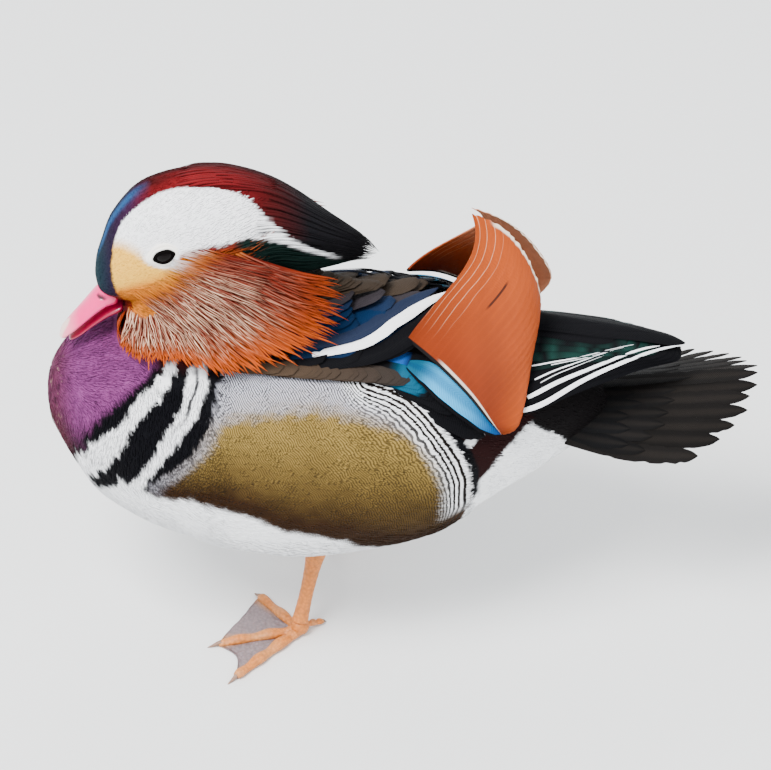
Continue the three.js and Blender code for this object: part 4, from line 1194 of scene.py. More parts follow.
RUFF_ROOT = [(-79, -21, 219), (-88, -22.5, 213), (-97, -22, 207), (-106, -21, 199), (-114, -19, 191),
             (-121, -15, 184), (-128, -9, 181)]
RUFF_TIP = [(-35, -30, 206), (-33, -34, 190), (-43, -40, 177), (-62, -42.5, 169), (-86, -43, 164.5),
            (-108, -37, 169), (-124, -28, 166), (-134, -18, 168)]
RUFF_BOW = 3.6
RUFF_MIDDLE = np.array([-92.0, 18.0, 186.0])


def ruff_at(round_share, out_share):
    """A point of the ruff: round 0 at its upper edge to 1 at the throat, out 0 at the cheek to 1 at the
    tips."""
    root, tip = along(RUFF_ROOT, round_share), along(RUFF_TIP, round_share)
    point = root + (tip - root) * out_share[..., None]
    bow = np.sin(math.pi * np.clip(out_share, 0, 1)) * RUFF_BOW
    return point - bow[..., None] * np.array([0, 1, 0])


def ruff_batch():
    """Long narrow hackles in many tiers, the shorter ones on top and nearer the cheek."""
    batch = Batch()
    stations = 9
    for start, end, number, lift in [
        (0.3, 1.0, 150, 0.6), (0.22, 0.93, 145, 1.2), (0.14, 0.82, 140, 1.8), (0.04, 0.68, 130, 2.3),
        (-0.06, 0.53, 125, 2.6), (-0.16, 0.38, 120, 2.6), (-0.24, 0.24, 110, 2.2),
    ]:
        share = (np.arange(number) + 0.5 + draw.uniform(-0.4, 0.4, number)) / number
        reach = end * (1 + draw.normal(0, 0.05, number)
                       + 0.2 * smoothstep(share, 0.66, 0.92) * draw.random(number))
        sway = draw.normal(0, 0.02, number)
        raised = lift * draw.uniform(0.8, 1.2, number)
        tracks = np.stack([
            np.stack([share, np.full(number, start), np.full(number, -0.6)], -1),
            np.stack([share + sway * 0.2, start + (reach - start) * 0.5, raised * 0.8], -1),
            np.stack([share + sway, reach, raised * draw.uniform(0.6, 1.1, number)], -1),
        ], 1)
        path, out = lay(ruff_at, tracks, stations, RUFF_MIDDLE)
        wide = draw.uniform(1.1, 1.9, number)[:, None] * shaped(stations, LOCK)
        t = np.linspace(0, 1, stations)[None, :]
        down = smoothstep(share, 0.1, 0.42)[:, None]
        base = blend(RUST_DARK, RUST, draw.uniform(0.0, 1, number)[:, None] * np.ones_like(t))
        placed = start + t * (end - start)
        base = blend(base, ORANGE, smoothstep(placed, 0.4, 0.9) * (0.3 + 0.7 * down))
        base = blend(base, CHEEK_ORANGE, smoothstep(placed, 0.16, -0.1) * 0.85)
        pale = blend(np.broadcast_to(CREAM, base.shape), ORANGE, 0.9 * smoothstep(placed, 0.5, 0.95))
        pale = blend(pale, RUST, (1 - down) * 0.55 * np.ones_like(t))
        share_of = (draw.uniform(0.1, 0.9, number)[:, None] * smoothstep(placed, -0.02, 0.14)
                    * (0.3 + 0.7 * down) * smoothstep(placed, 0.85, 0.5))
        add_vanes(batch, path, out, wide, wide * 0.3 + 0.05, base, columns=3, streak=pale, share=share_of,
                  pitch=0.7, tilt=draw.normal(0, 14, number))
    return batch


CHEEK_LINE = [(-97, 13), (-103, 6), (-105.5, -1), (-109, -9), (-115, -18), (-123, -28)]
FINE_LOCK = [(0, 0.1), (0.3, 0.75), (0.6, 1), (1, 0.05)]


def cheek_batch():
    """Fine locks from below and behind the eye out over the roots of the ruff, bowed off the cheek."""
    batch = Batch()
    stations = 9
    for back, reach, number in ((0.0, 0.12, 220), (0.25, 0.24, 170), (0.5, 0.36, 150)):
        share = (np.arange(number) + draw.random(number)) / number
        x, degrees = np.moveaxis(along(np.array(CHEEK_LINE, float), share), -1, 0)
        x = x + draw.uniform(-7.0, 2.5, number)
        start = over(crown_rows, x, degrees + draw.normal(0, 2.0, number), -0.45)
        end = ruff_at(share * 0.66, reach + draw.normal(0, 0.04, number)) + np.array([0, -3.2, 0.4])
        t = np.linspace(0, 1, stations)[None, :, None]
        way = back + (1 - back) * t
        bow = draw.uniform(1.2, 2.2, number)[:, None, None] * np.sin(math.pi * way)
        path = start[:, None] + (end - start)[:, None] * way + bow * np.array([0, -1, 0.15])
        path = path - (1 - t) ** 3 * np.array([0, -1.2, 0]) * (back > 0)
        out = np.broadcast_to(unit(np.array([0.1, -1, 0.2])), path.shape)
        wide = draw.uniform(0.7, 1.15, number)[:, None] * shaped(stations, FINE_LOCK)
        low = smoothstep(share, 0.08, 0.4)[:, None]
        base = blend(RUST_DARK, RUST, draw.uniform(0, 1, number)[:, None] * np.ones((1, stations)))
        base = blend(base, CHEEK_ORANGE * 0.9, smoothstep(way[..., 0], 0.55, 0.1) * (0.7 + 0.3 * low))
        cheek = head_plumage(turn_head(start))[:, None]
        base = blend(base, cheek, smoothstep(way[..., 0], 0.3, 0.0) * 0.85)
        share_of = (draw.uniform(0.1, 0.95, number)[:, None] * smoothstep(way[..., 0], 0.25, 0.7)
                    * (0.15 + 0.85 * low))
        add_vanes(batch, path, out, wide, wide * 0.3 + 0.05, base, columns=3,
                  streak=np.broadcast_to(CREAM, base.shape), share=share_of, pitch=0.7,
                  tilt=draw.normal(0, 12, number))
    return batch


def throat_batch():
    """Short orange hackles between the two ruffs, under the bill."""
    batch = Batch()
    number, stations = 70, 7
    side = draw.uniform(-1, 1, number)
    start = np.stack([-127 - 3 * np.abs(side), side * 8, 178 + 2 * np.abs(side)], -1)
    fall = draw.uniform(10, 17, number)
    end = start + np.stack([-2 - 3 * draw.random(number), side * 8, -fall], -1)
    middle = (start + end) / 2 + np.stack([-3 + 0 * side, side * 2, 0 * side], -1)
    path = catmull_lines(np.stack([start, middle, end], 1), stations)
    out = np.broadcast_to(unit(np.array([-1.0, 0, 0.1])), path.shape)
    wide = draw.uniform(1.6, 2.4, number)[:, None] * shaped(stations, LOCK)
    t = np.linspace(0, 1, stations)[None, :]
    base = blend(RUST, ORANGE, t * draw.uniform(0.5, 1, number)[:, None])
    add_vanes(batch, path, out, wide, 0.4, base, columns=3)
    return batch


def crest_batch():
    """Silky locks from the crown back, in tiers, closing to one point; each takes the markings it lies on."""
    batch = Batch()
    stations = 18
    for start, reach, number, lift, length_spread in [
        (-66, -12, 150, -0.5, 4), (-74, -19, 150, -0.1, 5), (-80, -29, 150, 0.2, 6), (-86, -40, 150, 0.4, 7),
        (-92, -52, 150, 0.5, 7), (-98, -64, 150, 0.5, 7), (-103, -76, 150, 0.4, 6),
    ]:
        degrees = np.linspace(-66, 246, number) + draw.uniform(-1.5, 1.5, number)
        roots = start + draw.uniform(-4, 4, number)
        bare = (polygon_distance((roots, degrees), FACE, HEAD_ARC) > 0) & (roots < -74)
        degrees, roots = degrees[~bare], roots[~bare]
        number = len(roots)
        end = reach + draw.normal(0, length_spread * 0.4, number) - np.abs(degrees - 90) * 0.03
        raised = lift * draw.uniform(0.6, 1.3, number)
        drift = draw.normal(0, 1.6, number)
        tracks = np.stack([
            np.stack([roots, degrees, np.full(number, -1.0)], -1),
            np.stack([start + (end - start) * 0.4, degrees + drift * 0.3, raised], -1),
            np.stack([end, degrees + drift, raised * 0.6], -1),
        ], 1)
        path, out = lay(lambda x, d: over(crown_rows, x, d, 0.0), tracks, stations, CREST_MIDDLE)
        wide = (draw.uniform(1.5, 2.5, number)[:, None] * shaped(stations, LOCK)
                * np.interp(path[..., 0], [-60, -30, -12], [1, 0.75, 0.4]))
        sample = turn_head(path)
        sample[..., 0] -= draw.uniform(0, 1.5, number)[:, None]
        colour = head_plumage(sample, 0.4) * draw.uniform(0.92, 1.08, number)[:, None, None]
        add_vanes(batch, path, out, wide, wide * 0.16 + 0.04, colour, columns=3, pitch=0.7)
    return batch


WING_BROWN = paint(51, 42, 34)
WING_BLUE = paint(8, 33, 62)
WING_BRIGHT = paint(49, 155, 208)
WING_DEEP = paint(12, 57, 115)
TEAL = paint(12, 76, 101)
WING_BLACK = paint(8, 8, 11)
WING_LIFT = 5.5


def wing_places(pixels):
    """Chart places of pixels of the photograph on the lower part of the folded wing."""
    return from_photo(lambda x, degrees: body_at(x, degrees, WING_LIFT), pixels, (-60, 50), (10, 80))


TEAL_PATCH = wing_places([(388, 372), (400, 366), (420, 364), (438, 370), (448, 379), (436, 385), (418, 388),
                          (400, 382)])
BLUE_SPOT = wing_places([(390, 354), (396, 349), (406, 349), (412, 354), (406, 359), (396, 359)])


def wing_plumage(points):
    """Black, with a teal patch and a bright blue spot."""
    places = chart(torso_rows, points)
    rough = ripple(points, 2.5, 31) * 0.5
    colour = np.broadcast_to(WING_BLACK, points.shape)
    colour = blend(colour, TEAL, smoothstep(polygon_distance(places, TEAL_PATCH, ARC) + rough, -1.2, 1.6))
    spot = smoothstep(polygon_distance(places, BLUE_SPOT, ARC) + rough, -0.8, 0.8)
    return blend(colour, WING_DEEP * 1.5, spot)


TIER_STATIONS = 12
TIER_JITTER = 1.2
TIER_ROOT = 0.4
TIER_FRAY = 0.12


def wing_tier(batch, first, last, number, rise, width, tints=None, shape=ROUNDED, tilt=-5, cup=0.03,
              middle=0.42, thick=0.55):
    """One tier of folded feathers between the places of its first and its last. Their lift runs from the
    first rise to the last, and is the share middle of that halfway along each feather."""
    first, last = np.array(first, float), np.array(last, float)
    i = np.linspace(0, 1, number)[:, None, None]
    places = first + (last - first) * i
    places[..., 0] += draw.normal(0, TIER_JITTER, (number, 1))
    top, foot = np.broadcast_to(rise, 2)
    rise = (foot + (top - foot) * np.linspace(1, 0, number) ** 2.5)[:, None]
    lifts = np.concatenate([np.full_like(rise, TIER_ROOT), rise * middle, rise], 1)
    path, out = lay_on_body(np.concatenate([places, lifts[..., None]], -1), TIER_STATIONS)
    colour = tints(i[:, 0, 0], np.linspace(0, 1, TIER_STATIONS)) if tints else wing_plumage(path)
    add_vanes(batch, path, out, width * shaped(TIER_STATIONS, shape) * np.ones((number, 1)), thick, colour,
              columns=7, cup=cup, tilt=tilt, fray=TIER_FRAY, pitch=1.0)


def two_way(start, end):
    """Tints that run from the first vane to the last."""
    return lambda i, t: blend(start, end, i)[:, None] + np.zeros((1, len(t), 1))


def add_coverts(batch):
    """Brown coverts along the flank's upper edge, then black ones with the teal patch, then black
    secondaries."""
    wing_tier(batch, [(-84, 60), (-70, 59), (-54, 58)], [(-34, 57), (-16, 55), (4, 51)], 17, 4.2, 9, tilt=-1,
              cup=0.0, thick=0.3, tints=two_way(paint(66, 52, 40), paint(40, 36, 34)))
    wing_tier(batch, [(-30, 60), (-12, 58), (4, 54)], [(-6, 50), (10, 46), (22, 38)], 10, 4.4, 9)
    wing_tier(batch, [(-22, 66), (-2, 62), (14, 58)], [(-8, 49), (9, 44), (22, 36)], 11, 4.9, 9)
    wing_tier(batch, [(-4, 50), (16, 38), (34, 24)], [(4, 46), (20, 33), (37, 20)], 6, 3.2, 8, shape=LONG)
    wing_tier(batch, [(-6, 62), (16, 53), (40, 42)], [(-2, 49), (18, 38), (44, 22.5)], 8, 4.9, 9, shape=LONG)


def add_bright_feather(batch, fall):
    """The one bright broad feather over a black one. fall is how many degrees lower it lies."""
    track = [[(2, 58, 4.4), (11, 53.5, 5.8), (20, 46, 6.3), (34, 33, 6.3), (45, 22, 6.0)]]
    path, out = lay_on_body(np.array(track) - np.array([0, fall, 0]), 26)
    t = np.linspace(0, 1, 26)[None, :]
    colour = blend(blend(TEAL, WING_BRIGHT, smoothstep(t, 0.12, 0.4)), WING_DEEP, smoothstep(t, 0.55, 0.95))
    wide = np.interp(t, [0, 0.2, 0.5, 0.8, 0.94, 1], [0.3, 0.8, 1, 0.9, 0.55, 0.08])
    add_vanes(batch, path, out, 16.5 * wide, 0.8, WING_BLACK, columns=9, cup=0.02, tilt=-4)
    add_vanes(batch, path + out * 0.5, out, 13 * wide, 0.8, colour, columns=9, cup=0.02, tilt=-4, pitch=1.2,
              streak=WING_DEEP * 0.5, share=0.4)


# Tiers of the shoulder from the front: places of the first and the last feather, their lifts
SHOULDER = [
    ([(-88, 86), (-74, 86), (-60, 86)], [(-82, 66), (-68, 65), (-52, 64)], (9.5, 4.6)),
    ([(-74, 86), (-58, 86), (-42, 86)], [(-68, 64), (-52, 63.5), (-35, 62.5)], (11.5, 5.4)),
    ([(-58, 86), (-40, 86), (-24, 86)], [(-52, 63.5), (-36, 63), (-19, 63)], (13.0, 6.2)),
    ([(-42, 86), (-24, 86), (-8, 86)], [(-40, 63), (-22, 63.5), (-6, 66)], (14.0, 7.0)),
    ([(-28, 85), (-8, 85), (9, 86)], [(-28, 66), (-10, 68), (7, 73)], (14.0, 8.0)),
]
# The long shoulder feathers: track, width, colour, thickness; the white one last but one
LONG_SHOULDER = [
    ([(-44, 58.5, 2.6), (-18, 60.5, 5.4), (-3, 66, 8), (8, 73, 13), (17, 79, 19)], 10, WING_BLACK, 1.0),
    ([(-26, 59, 2.4), (-6, 62.5, 5.6), (6, 69.5, 9), (14, 75.5, 13.6), (20.5, 80, 19)], 8, WING_BLACK, 1.0),
    ([(-42, 62.5, 4.6), (-18, 66, 7.2), (-4, 74.5, 10), (7.6, 80, 15), (16.6, 82.5, 21.4)], 6.6, WHITE, 1.0),
    ([(-50, 66, 4.6), (-24, 69, 7.2), (-8, 77, 9.6), (3, 83, 13.4), (13.5, 85.5, 19.6)], 8,
     blend(WING_BLUE, WING_BROWN, 0.3), 0.8),
]


def add_shoulder(batch, blue_from):
    """The shoulder, brown above and blue below. blue_from is where the blue begins and ends to set in."""
    def back(i, t):
        blue = blend(WING_BROWN, WING_BLUE, smoothstep(i, *blue_from))
        colour = blend(blue, WING_BLACK, smoothstep(i, 0.85, 0.95))
        return colour[:, None] * (1 - 0.35 * smoothstep(t, 0.85, 1.0))[None, :, None]

    for first, last, rise in SHOULDER:
        wing_tier(batch, first, last, 9, rise, 12.5, back)


def add_mantle(batch):
    """The mantle between the two shoulders, puffed up under the crest."""
    wing_tier(batch, [(-84, 96), (-66, 95), (-44, 94)], [(-50, 92), (-32, 91), (-10, 90)], 14, (21.0, 14.0),
              13, tints=two_way(WING_BROWN, WING_BROWN * 0.8), middle=0.62)


def add_long_shoulder(batch, stand, far):
    """The black shoulder feathers, then the white one with its dark edge; on the far side dark behind."""
    stations = 22
    for track, width, colour, thick in LONG_SHOULDER:
        track = np.array([track], float)
        track[..., 2] *= np.array([1, 1, (1 + stand) / 2, stand, stand])
        path, out = lay_on_body(track, stations)
        colour = np.broadcast_to(colour, path.shape)
        if far:
            colour = blend(colour, WING_BLACK, smoothstep(path[..., 0], -24, -20))
        wide = (0.15 + 0.85 * stand**2) * width * shaped(stations, POINTED)[None, :]
        add_vanes(batch, path, out, wide, thick, colour, columns=7, cup=0.06, fray=0.1)


def wing_batch(stand):
    """The folded wing as on the left side. stand scales how far the long shoulder feathers stand off the
    back, and is below 1 for the wing away from the camera."""
    batch = Batch()
    far = stand < 1
    blue_from, fall = ((0.6, 0.85), 10.0) if far else ((-0.1, 0.2), 0.0)
    add_coverts(batch)
    add_bright_feather(batch, fall)
    add_shoulder(batch, blue_from)
    if not far:
        add_mantle(batch)
    add_long_shoulder(batch, stand, far)
    return batch


PRIMARY_EAVE = [(30, -46, 137), (55, -42, 141), (73, -34, 146.5), (92, -25, 149.5), (111, -15, 151),
                (126, -7, 150.5), (133.5, -2.5, 149)]
PRIMARY_RIDGE = [(30, -3, 166), (55, -1.5, 165), (73, -1.2, 163), (92, -1.2, 160), (111, -1.2, 156.5),
                 (126, -1.2, 152.5), (133.5, -1.2, 149.8)]
PRIMARY_MIDDLE = np.array([60.0, 0, 100])

# White lines on the flight feathers: width, and shares of the way out and up
PRIMARY_STRIPES = [
    (0.8, [(0.212, 0.449), (0.421, 0.43), (0.641, 0.537)]), (0.5, [(0.3, 0.4), (0.45, 0.405), (0.6, 0.49)]),
    (0.9, [(0.224, 0.296), (0.402, 0.351), (0.556, 0.453)]), (0.5, [(0.25, 0.24), (0.4, 0.3), (0.52, 0.38)]),
    (2.2, [(0.193, 0.143), (0.363, 0.175), (0.529, 0.245), (0.699, 0.393), (0.768, 0.444)]),
    (2.6, [(0.174, 0.036), (0.309, 0.004), (0.456, 0.078), (0.656, 0.171), (0.8, 0.32), (0.94, 0.5)]),
]


def primary_at(out_share, up_share):
    """A point of the folded wing tip: up 0 at the eave to 1 at the ridge."""
    eave, ridge = along(PRIMARY_EAVE, out_share), along(PRIMARY_RIDGE, out_share)
    point = eave + (ridge - eave) * up_share[..., None]
    rise = np.sin(math.pi * np.clip(up_share, 0, 1)) * 3 * (1 - out_share)
    return point + rise[..., None] * np.array([0, 0, 1.0])


def primary_batch(reach):
    """Flight feathers of the left side: each dark, with a white outer edge, the lower ones the longer."""
    batch = Batch()
    number, stations = 9, 24
    i = np.arange(number)
    tip = 0.985 - 0.052 * i
    edge = 0.1 + 0.105 * i
    lift = 0.55 * (i - number + 1)
    tracks = np.stack([
        np.stack([0 * tip, edge, lift], -1),
        np.stack([tip * 0.35, edge + 0.02, lift], -1),
        np.stack([tip * 0.7, edge * 0.82 + 0.1, lift * 0.9], -1),
        np.stack([tip, edge * 0.64 + 0.2, lift * 0.8], -1),
    ], 1)
    path, out = lay(primary_at, tracks, stations, PRIMARY_MIDDLE)
    t = np.linspace(0, 1, stations)[None, :]
    # Painted sheen: a mottled dark green on the middle feathers.
    green = (smoothstep(i, 3, 5)[:, None] * smoothstep(-i, -7.5, -6.5)[:, None] * smoothstep(t, 0.05, 0.3)
             * smoothstep(ripple(path, 3, 41), -0.7, 0.6))
    colour = blend(np.broadcast_to(WING_BLACK, path.shape), paint(20, 52, 46), green * 0.85)
    wide = 13 * shaped(stations, LONG)[None, :] * np.ones((number, 1))
    add_vanes(batch, path, out, wide, 0.5, colour, columns=9, cup=0.02, tilt=-3, fray=0.04)
    for width, track in PRIMARY_STRIPES:
        track = np.array(track)
        track = track[track[:, 0] < reach]
        lift = np.minimum(0.55 * ((track[:, 1] - 0.1) / 0.105 - 8), 0) * (1 - 0.2 * track[:, 0]) + 1.1
        lift = lift + 1.2 * smoothstep(track[:, 0], 0.4, 0.7)
        path, out = lay(primary_at, np.column_stack([track, lift])[None], 26, PRIMARY_MIDDLE)
        wide = width * np.interp(np.linspace(0, 1, 26), [0, 0.1, 0.5, 0.8, 1], [0.8, 1, 0.75, 0.45, 0.1])
        add_vanes(batch, path, out, wide[None, :], 0.6, WHITE, columns=5, fray=0.1)
    return batch


def ridge_batch():
    """Black feathers along the middle, over the gap between the two folded wing tips."""
    batch = Batch()
    stations = 26
    for drop, width, reach in ((1.0, 15, 0.985), (0.2, 12, 0.72), (-0.5, 10, 0.5)):
        path = along(PRIMARY_RIDGE, np.linspace(0, reach, stations))[None]
        path[..., 1] = 0.0
        path[..., 2] += 1.2 - drop
        out = np.broadcast_to(np.array([0.0, 0, 1]), path.shape)
        wide = width * np.interp(np.linspace(0, 1, stations), [0, 0.5, 0.85, 1], [0.9, 1, 0.6, 0.08])
        add_vanes(batch, path, out, wide[None], 0.5, WING_BLACK, columns=9, cup=0.14)
    return batch


# The sails

SAIL_SHAFT = [(2, 67), (16, 56), (30, 42), (40, 29), (46, 21.5)]
SAIL_EDGE = {
    "left": [(31.8, -2.5, 227.6), (47, -4, 220), (59, -7, 203), (64.3, -9.3, 182.5), (60.7, -20, 161.4),
             (54.6, -43, 137.9), (47, -49.6, 134.4)],
    "right": [(31.8, -2.5, 227), (47, -4, 219), (60.5, -7, 203), (69.6, -9.3, 182.5), (62.5, -20, 161.4),
              (54.6, -43, 137.9), (47, -49.6, 134.4)],
}
SAIL_LIFT = 8.7
SAIL_BOW = {"left": 8.5, "right": 13}
SAIL_HOLLOW = 4


def sail_mesh(side):
    """A broad web from its low shaft up to its free edge, bowed and hollowed, about a millimetre thick and
    thinner at the rim."""
    columns, rows = 110, 90
    u, v = np.meshgrid(np.linspace(0, 1, columns), np.linspace(0, 1, rows), indexing="ij")
    shaft = body_at(*np.moveaxis(np.array(SAIL_SHAFT, float), -1, 0), SAIL_LIFT)
    root, tip = along(shaft, u), along(SAIL_EDGE[side], u)
    point = root + (tip - root) * v[..., None]
    point[..., 0] += SAIL_BOW[side] * np.sin(math.pi * v**1.8) * (1 - u) ** 0.7
    point[..., 1] -= np.sin(math.pi * v) * SAIL_HOLLOW * (1 - u)
    uneven = 0.5 + 0.5 * np.sin(u * 150 + 4 * np.sin(u * 23) + 2 * np.sin(u * 61))
    nicks = np.where(v > 0.9, (v - 0.9) * 10, 0) * 0.7 * uneven
    point = point - (tip - root) / np.linalg.norm(tip - root, axis=-1, keepdims=True) * nicks[..., None]
    du, dv = np.gradient(point, axis=0), np.gradient(point, axis=1)
    out = unit(np.cross(du, dv))
    crease = 0.25 * np.sin(u * 150 + v * 14) * smoothstep(v, 0.1, 0.6)
    thick = np.interp(v, [0, 0.2, 1], [1.2, 0.9, 0.35]) / 2
    outer = point + out * (thick + crease * 0.4)[..., None]
    inner = point - out * (thick - crease * 0.4)[..., None]
    points = np.vstack([outer.reshape(-1, 3), inner.reshape(-1, 3)])
    faces = outwards(points, split(slab_quads(columns, rows)[:, ::-1]))
    if side == "right":
        points = points * np.array([1, -1, 1])
        faces = faces[:, ::-1]
    mesh = make_mesh("web_" + side, points, faces)
    pale = 0.75 * (side == "right") * smoothstep(v, 0.3, 0.9)
    for key, values in (("u", u), ("v", v), ("pale", pale)):
        set_number(mesh, key, np.concatenate([values.ravel(), values.ravel()]))
    mesh.set_sharp_from_angle(angle=math.radians(50))
    return mesh


def sail_finish():
    """Orange web, paler outwards, with barbs that curve up to the tip, a few pale arcs, a short dark slit, a
    pale free edge, and a pale line over a black one at the foot."""
    made = Finish("sail")
    u, v = made.number("u"), made.number("v")
    base = made.mix(made.step(v, 0.0, 0.85), tuple(paint(126, 44, 8)), tuple(paint(168, 70, 18)))
    barb = u * 165.0 + v * 16.0 + made.noise(60.0) * 1.5
    line = (barb * (2 * math.pi)).sin()
    band = ((u * 24.0 + v * 0.8 + made.noise(30.0) * 1.6) * (2 * math.pi)).sin()
    broad = made.noise(70.0, 3.0, stretch=(1.0, 1.0, 0.35))
    base = made.scale(base, 0.8 + line * 0.05 + broad * 0.4 + made.step(band, 0.5, 1.0) * 0.07)
    arcs = made.step(band, 0.94, 1.0) * made.step(u, 0.2, 0.1) * made.step(v, 0.1, 0.35)
    base = made.mix(arcs * 0.4, base, tuple(paint(244, 204, 168)))
    base = made.mix(made.number("pale"), base, tuple(paint(214, 150, 116)))
    slit = (made.step(u, 0.231, 0.236) * made.step(u, 0.247, 0.242) * made.step(v, 0.46, 0.52)
            * made.step(v, 0.72, 0.66))
    base = made.mix(slit, base, tuple(paint(60, 26, 14)))
    rim = made.step(v, 0.955, 0.98) * made.step(u, 0.09, 0.14) * made.step(u, 0.52, 0.42)
    base = made.mix(rim, base, tuple(paint(248, 230, 208)))
    pale = made.step(v, 0.05, 0.04) * made.step(u, 0.22, 0.3)
    base = made.mix(pale * 0.85, base, tuple(paint(240, 224, 206)))
    base = made.mix(made.step(v, 0.028, 0.02), base, tuple(paint(16, 12, 12)))
    height = line * 0.5 + made.noise(500.0)
    return made.set(colour=base, roughness=0.6, specular=0.15, normal=made.bump(height, 0.0002))


# The tail

TAIL = {"root_x": 76, "root_z": 122, "root_half": 27, "root_drop": 9, "reach": 169, "middle_z": 132,
        "half": 36, "edge_back": 33, "slope": 18, "roll": 6}
TAIL_MIDDLE = np.array([110.0, 0, 60])


def tail_at(out_share, across):
    """A point of the fan: out 0 at the root to 1 at the tips, across -1 at its left edge to 1 at its
    right."""
    wide = np.abs(across)
    root = np.stack([TAIL["root_x"] + 0 * wide, TAIL["root_half"] * across,
                     TAIL["root_z"] - TAIL["root_drop"] * wide**1.5 + TAIL["roll"] * 0.4 * across], -1)
    tip = np.stack([TAIL["reach"] - TAIL["edge_back"] * wide**2.2, TAIL["half"] * across,
                    TAIL["middle_z"] - TAIL["slope"] * wide**1.5 + TAIL["roll"] * across], -1)
    point = root + (tip - root) * out_share[..., None]
    sag = 3.5 * np.sin(math.pi * out_share) * wide
    return point - sag[..., None] * np.array([0, 0, 1.0])


def tail_batch():
    """Thirteen long feathers, the middle ones on top, with worn tips, and two tiers of coverts over them."""
    batch = Batch()

    def row(number, spread, start, end, lift, width, tints, shape, stations, fray, tilt):
        across = np.linspace(-spread, spread, number) + draw.normal(0, 0.006, number)
        reach = end * (1 + draw.normal(0, 0.012 if start == 0.02 else 0.06, number))
        high = lift + 3.2 * (0.5 - np.abs(across))
        tracks = np.stack([
            np.stack([np.full(number, start), across * 0.9, high * 0.4 - lift * 0.6], -1),
            np.stack([start + (reach - start) * 0.5, across * 0.97, high * 0.8], -1),
            np.stack([reach, across, high * 0.5 + lift * 0.5], -1),
        ], 1)
        path, out = lay(tail_at, tracks, stations, TAIL_MIDDLE)
        colour = tints * draw.uniform(0.8, 1.2, number)[:, None]
        add_vanes(batch, path, out, width * shaped(stations, shape)[None, :] * np.ones((number, 1)), 0.5,
                  colour, columns=9, cup=0.015, tilt=-tilt * np.sign(across), fray=fray,
                  streak=blend(colour, paint(84, 74, 66), 0.5), share=0.1)

    worn = [(0, 0.8), (0.4, 1), (0.8, 0.86), (0.9, 0.6), (0.96, 0.32), (1, 0.04)]
    row(13, 0.95, 0.02, 0.995, 0.0, 9.8, paint(19, 17, 16), worn, 30, 0.2, 7)
    row(13, 0.9, 0.0, 0.6, 0.5, 8, paint(15, 14, 14), POINTED, 20, 0.15, 3)
    row(11, 0.84, -0.1, 0.4, 0.8, 8, paint(12, 12, 13), POINTED, 18, 0.15, 2)
    return batch


# Bill, eyes, legs

BILL = [
    (-133, 186, 0, 0, 0), (-134, 186, 7.5, 6, 5), (-139, 183.5, 7.6, 8.5, 4), (-144, 179.5, 7.2, 6.8, 3.6),
    (-150, 173.5, 6.6, 5, 3.2), (-156, 167.5, 5.6, 3.8, 2.8), (-160, 163.5, 3.8, 2.6, 2.6),
    (-161.6, 161.5, 0, 0, 0),
]
LOWER_BILL = [
    (-131, 179, 0, 0, 0), (-132, 179, 6, 2, 3), (-139, 175.6, 6.2, 1.8, 3), (-146, 170.2, 5.6, 1.6, 2.6),
    (-152, 164.6, 4.6, 1.4, 2), (-156, 161, 2.6, 1, 1.2), (-157.2, 160, 0, 0, 0),
]
BILL_MIDDLE = np.array([-148.0, 0, 176])
NOSTRIL = np.array([-141.0, 6.2, 186.6])
BILL_PINK = paint(246, 28, 124)
BILL_DEEP = paint(176, 10, 66)
BILL_NAIL = paint(240, 206, 194)


def bill_pieces():
    """The upper half with its nail and nostrils, and the lower half."""
    points, triangles = tube(oval_rings(smooth_rows(BILL, 10), 48))
    side = np.abs(points[:, 1])
    pit = smoothstep(np.hypot((points[:, 0] - NOSTRIL[0]) / 2.6, (points[:, 2] - NOSTRIL[2] - 0.2) / 1.2)
                     + 0.4 * (side < 3), 1.2, 0.5)
    nail = smoothstep(np.hypot((points[:, 0] + 160.4) / 4.2, side / 3.4), 1.15, 0.8)
    colour = ramp(points[:, 0], [(-161, blend(BILL_PINK, BILL_NAIL, 0.5)), (-152, BILL_PINK),
                                 (-140, BILL_PINK), (-134, BILL_DEEP)])
    # Painted shade of the mouth line: the upper half darkens towards its lower edge.
    above_edge = points[:, 2] - np.interp(points[:, 0], [-160, -134], [161, 182])
    colour = blend(colour, BILL_DEEP, smoothstep(above_edge, 0.5, -2) * 0.8)
    colour = blend(colour, BILL_NAIL, nail)
    # Painted shade: the nostril pits are painted dark for the shade in their openings.
    colour = blend(colour, paint(60, 10, 24), pit)
    points = (points - unit(points - BILL_MIDDLE) * (pit * 0.8)[:, None]
              + np.array([0, 0, 0.35]) * nail[:, None])
    mesh = make_mesh("bill_top", turn_head(points), triangles)
    set_colour(mesh, "tint", colour)
    finish = bill_finish()
    add_piece(mesh, finish, ("bill_upper",))
    lower = tube_mesh("bill_bottom", turn_head(oval_rings(smooth_rows(LOWER_BILL, 8), 40)))
    set_colour(lower, "tint", np.tile(BILL_DEEP * 0.7, (len(lower.vertices), 1)))
    add_piece(lower, finish, ("bill_lower",))


EYE_LEAN = math.radians(17)
RING_STATIONS = 72
RING_SIDES = 10
LID_DARK = paint(7, 5, 5)
LID_PALE = paint(252, 248, 240)
# Rings about the eye: half width, half height, thickness, least depth, colour
EYE_RINGS = [
    (3.95, 2.95, 0.64, 3.5, LID_DARK), (5.3, 4.25, 0.75, 3.0, LID_PALE), (6.3, 5.3, 0.9, 2.2, LID_PALE),
]


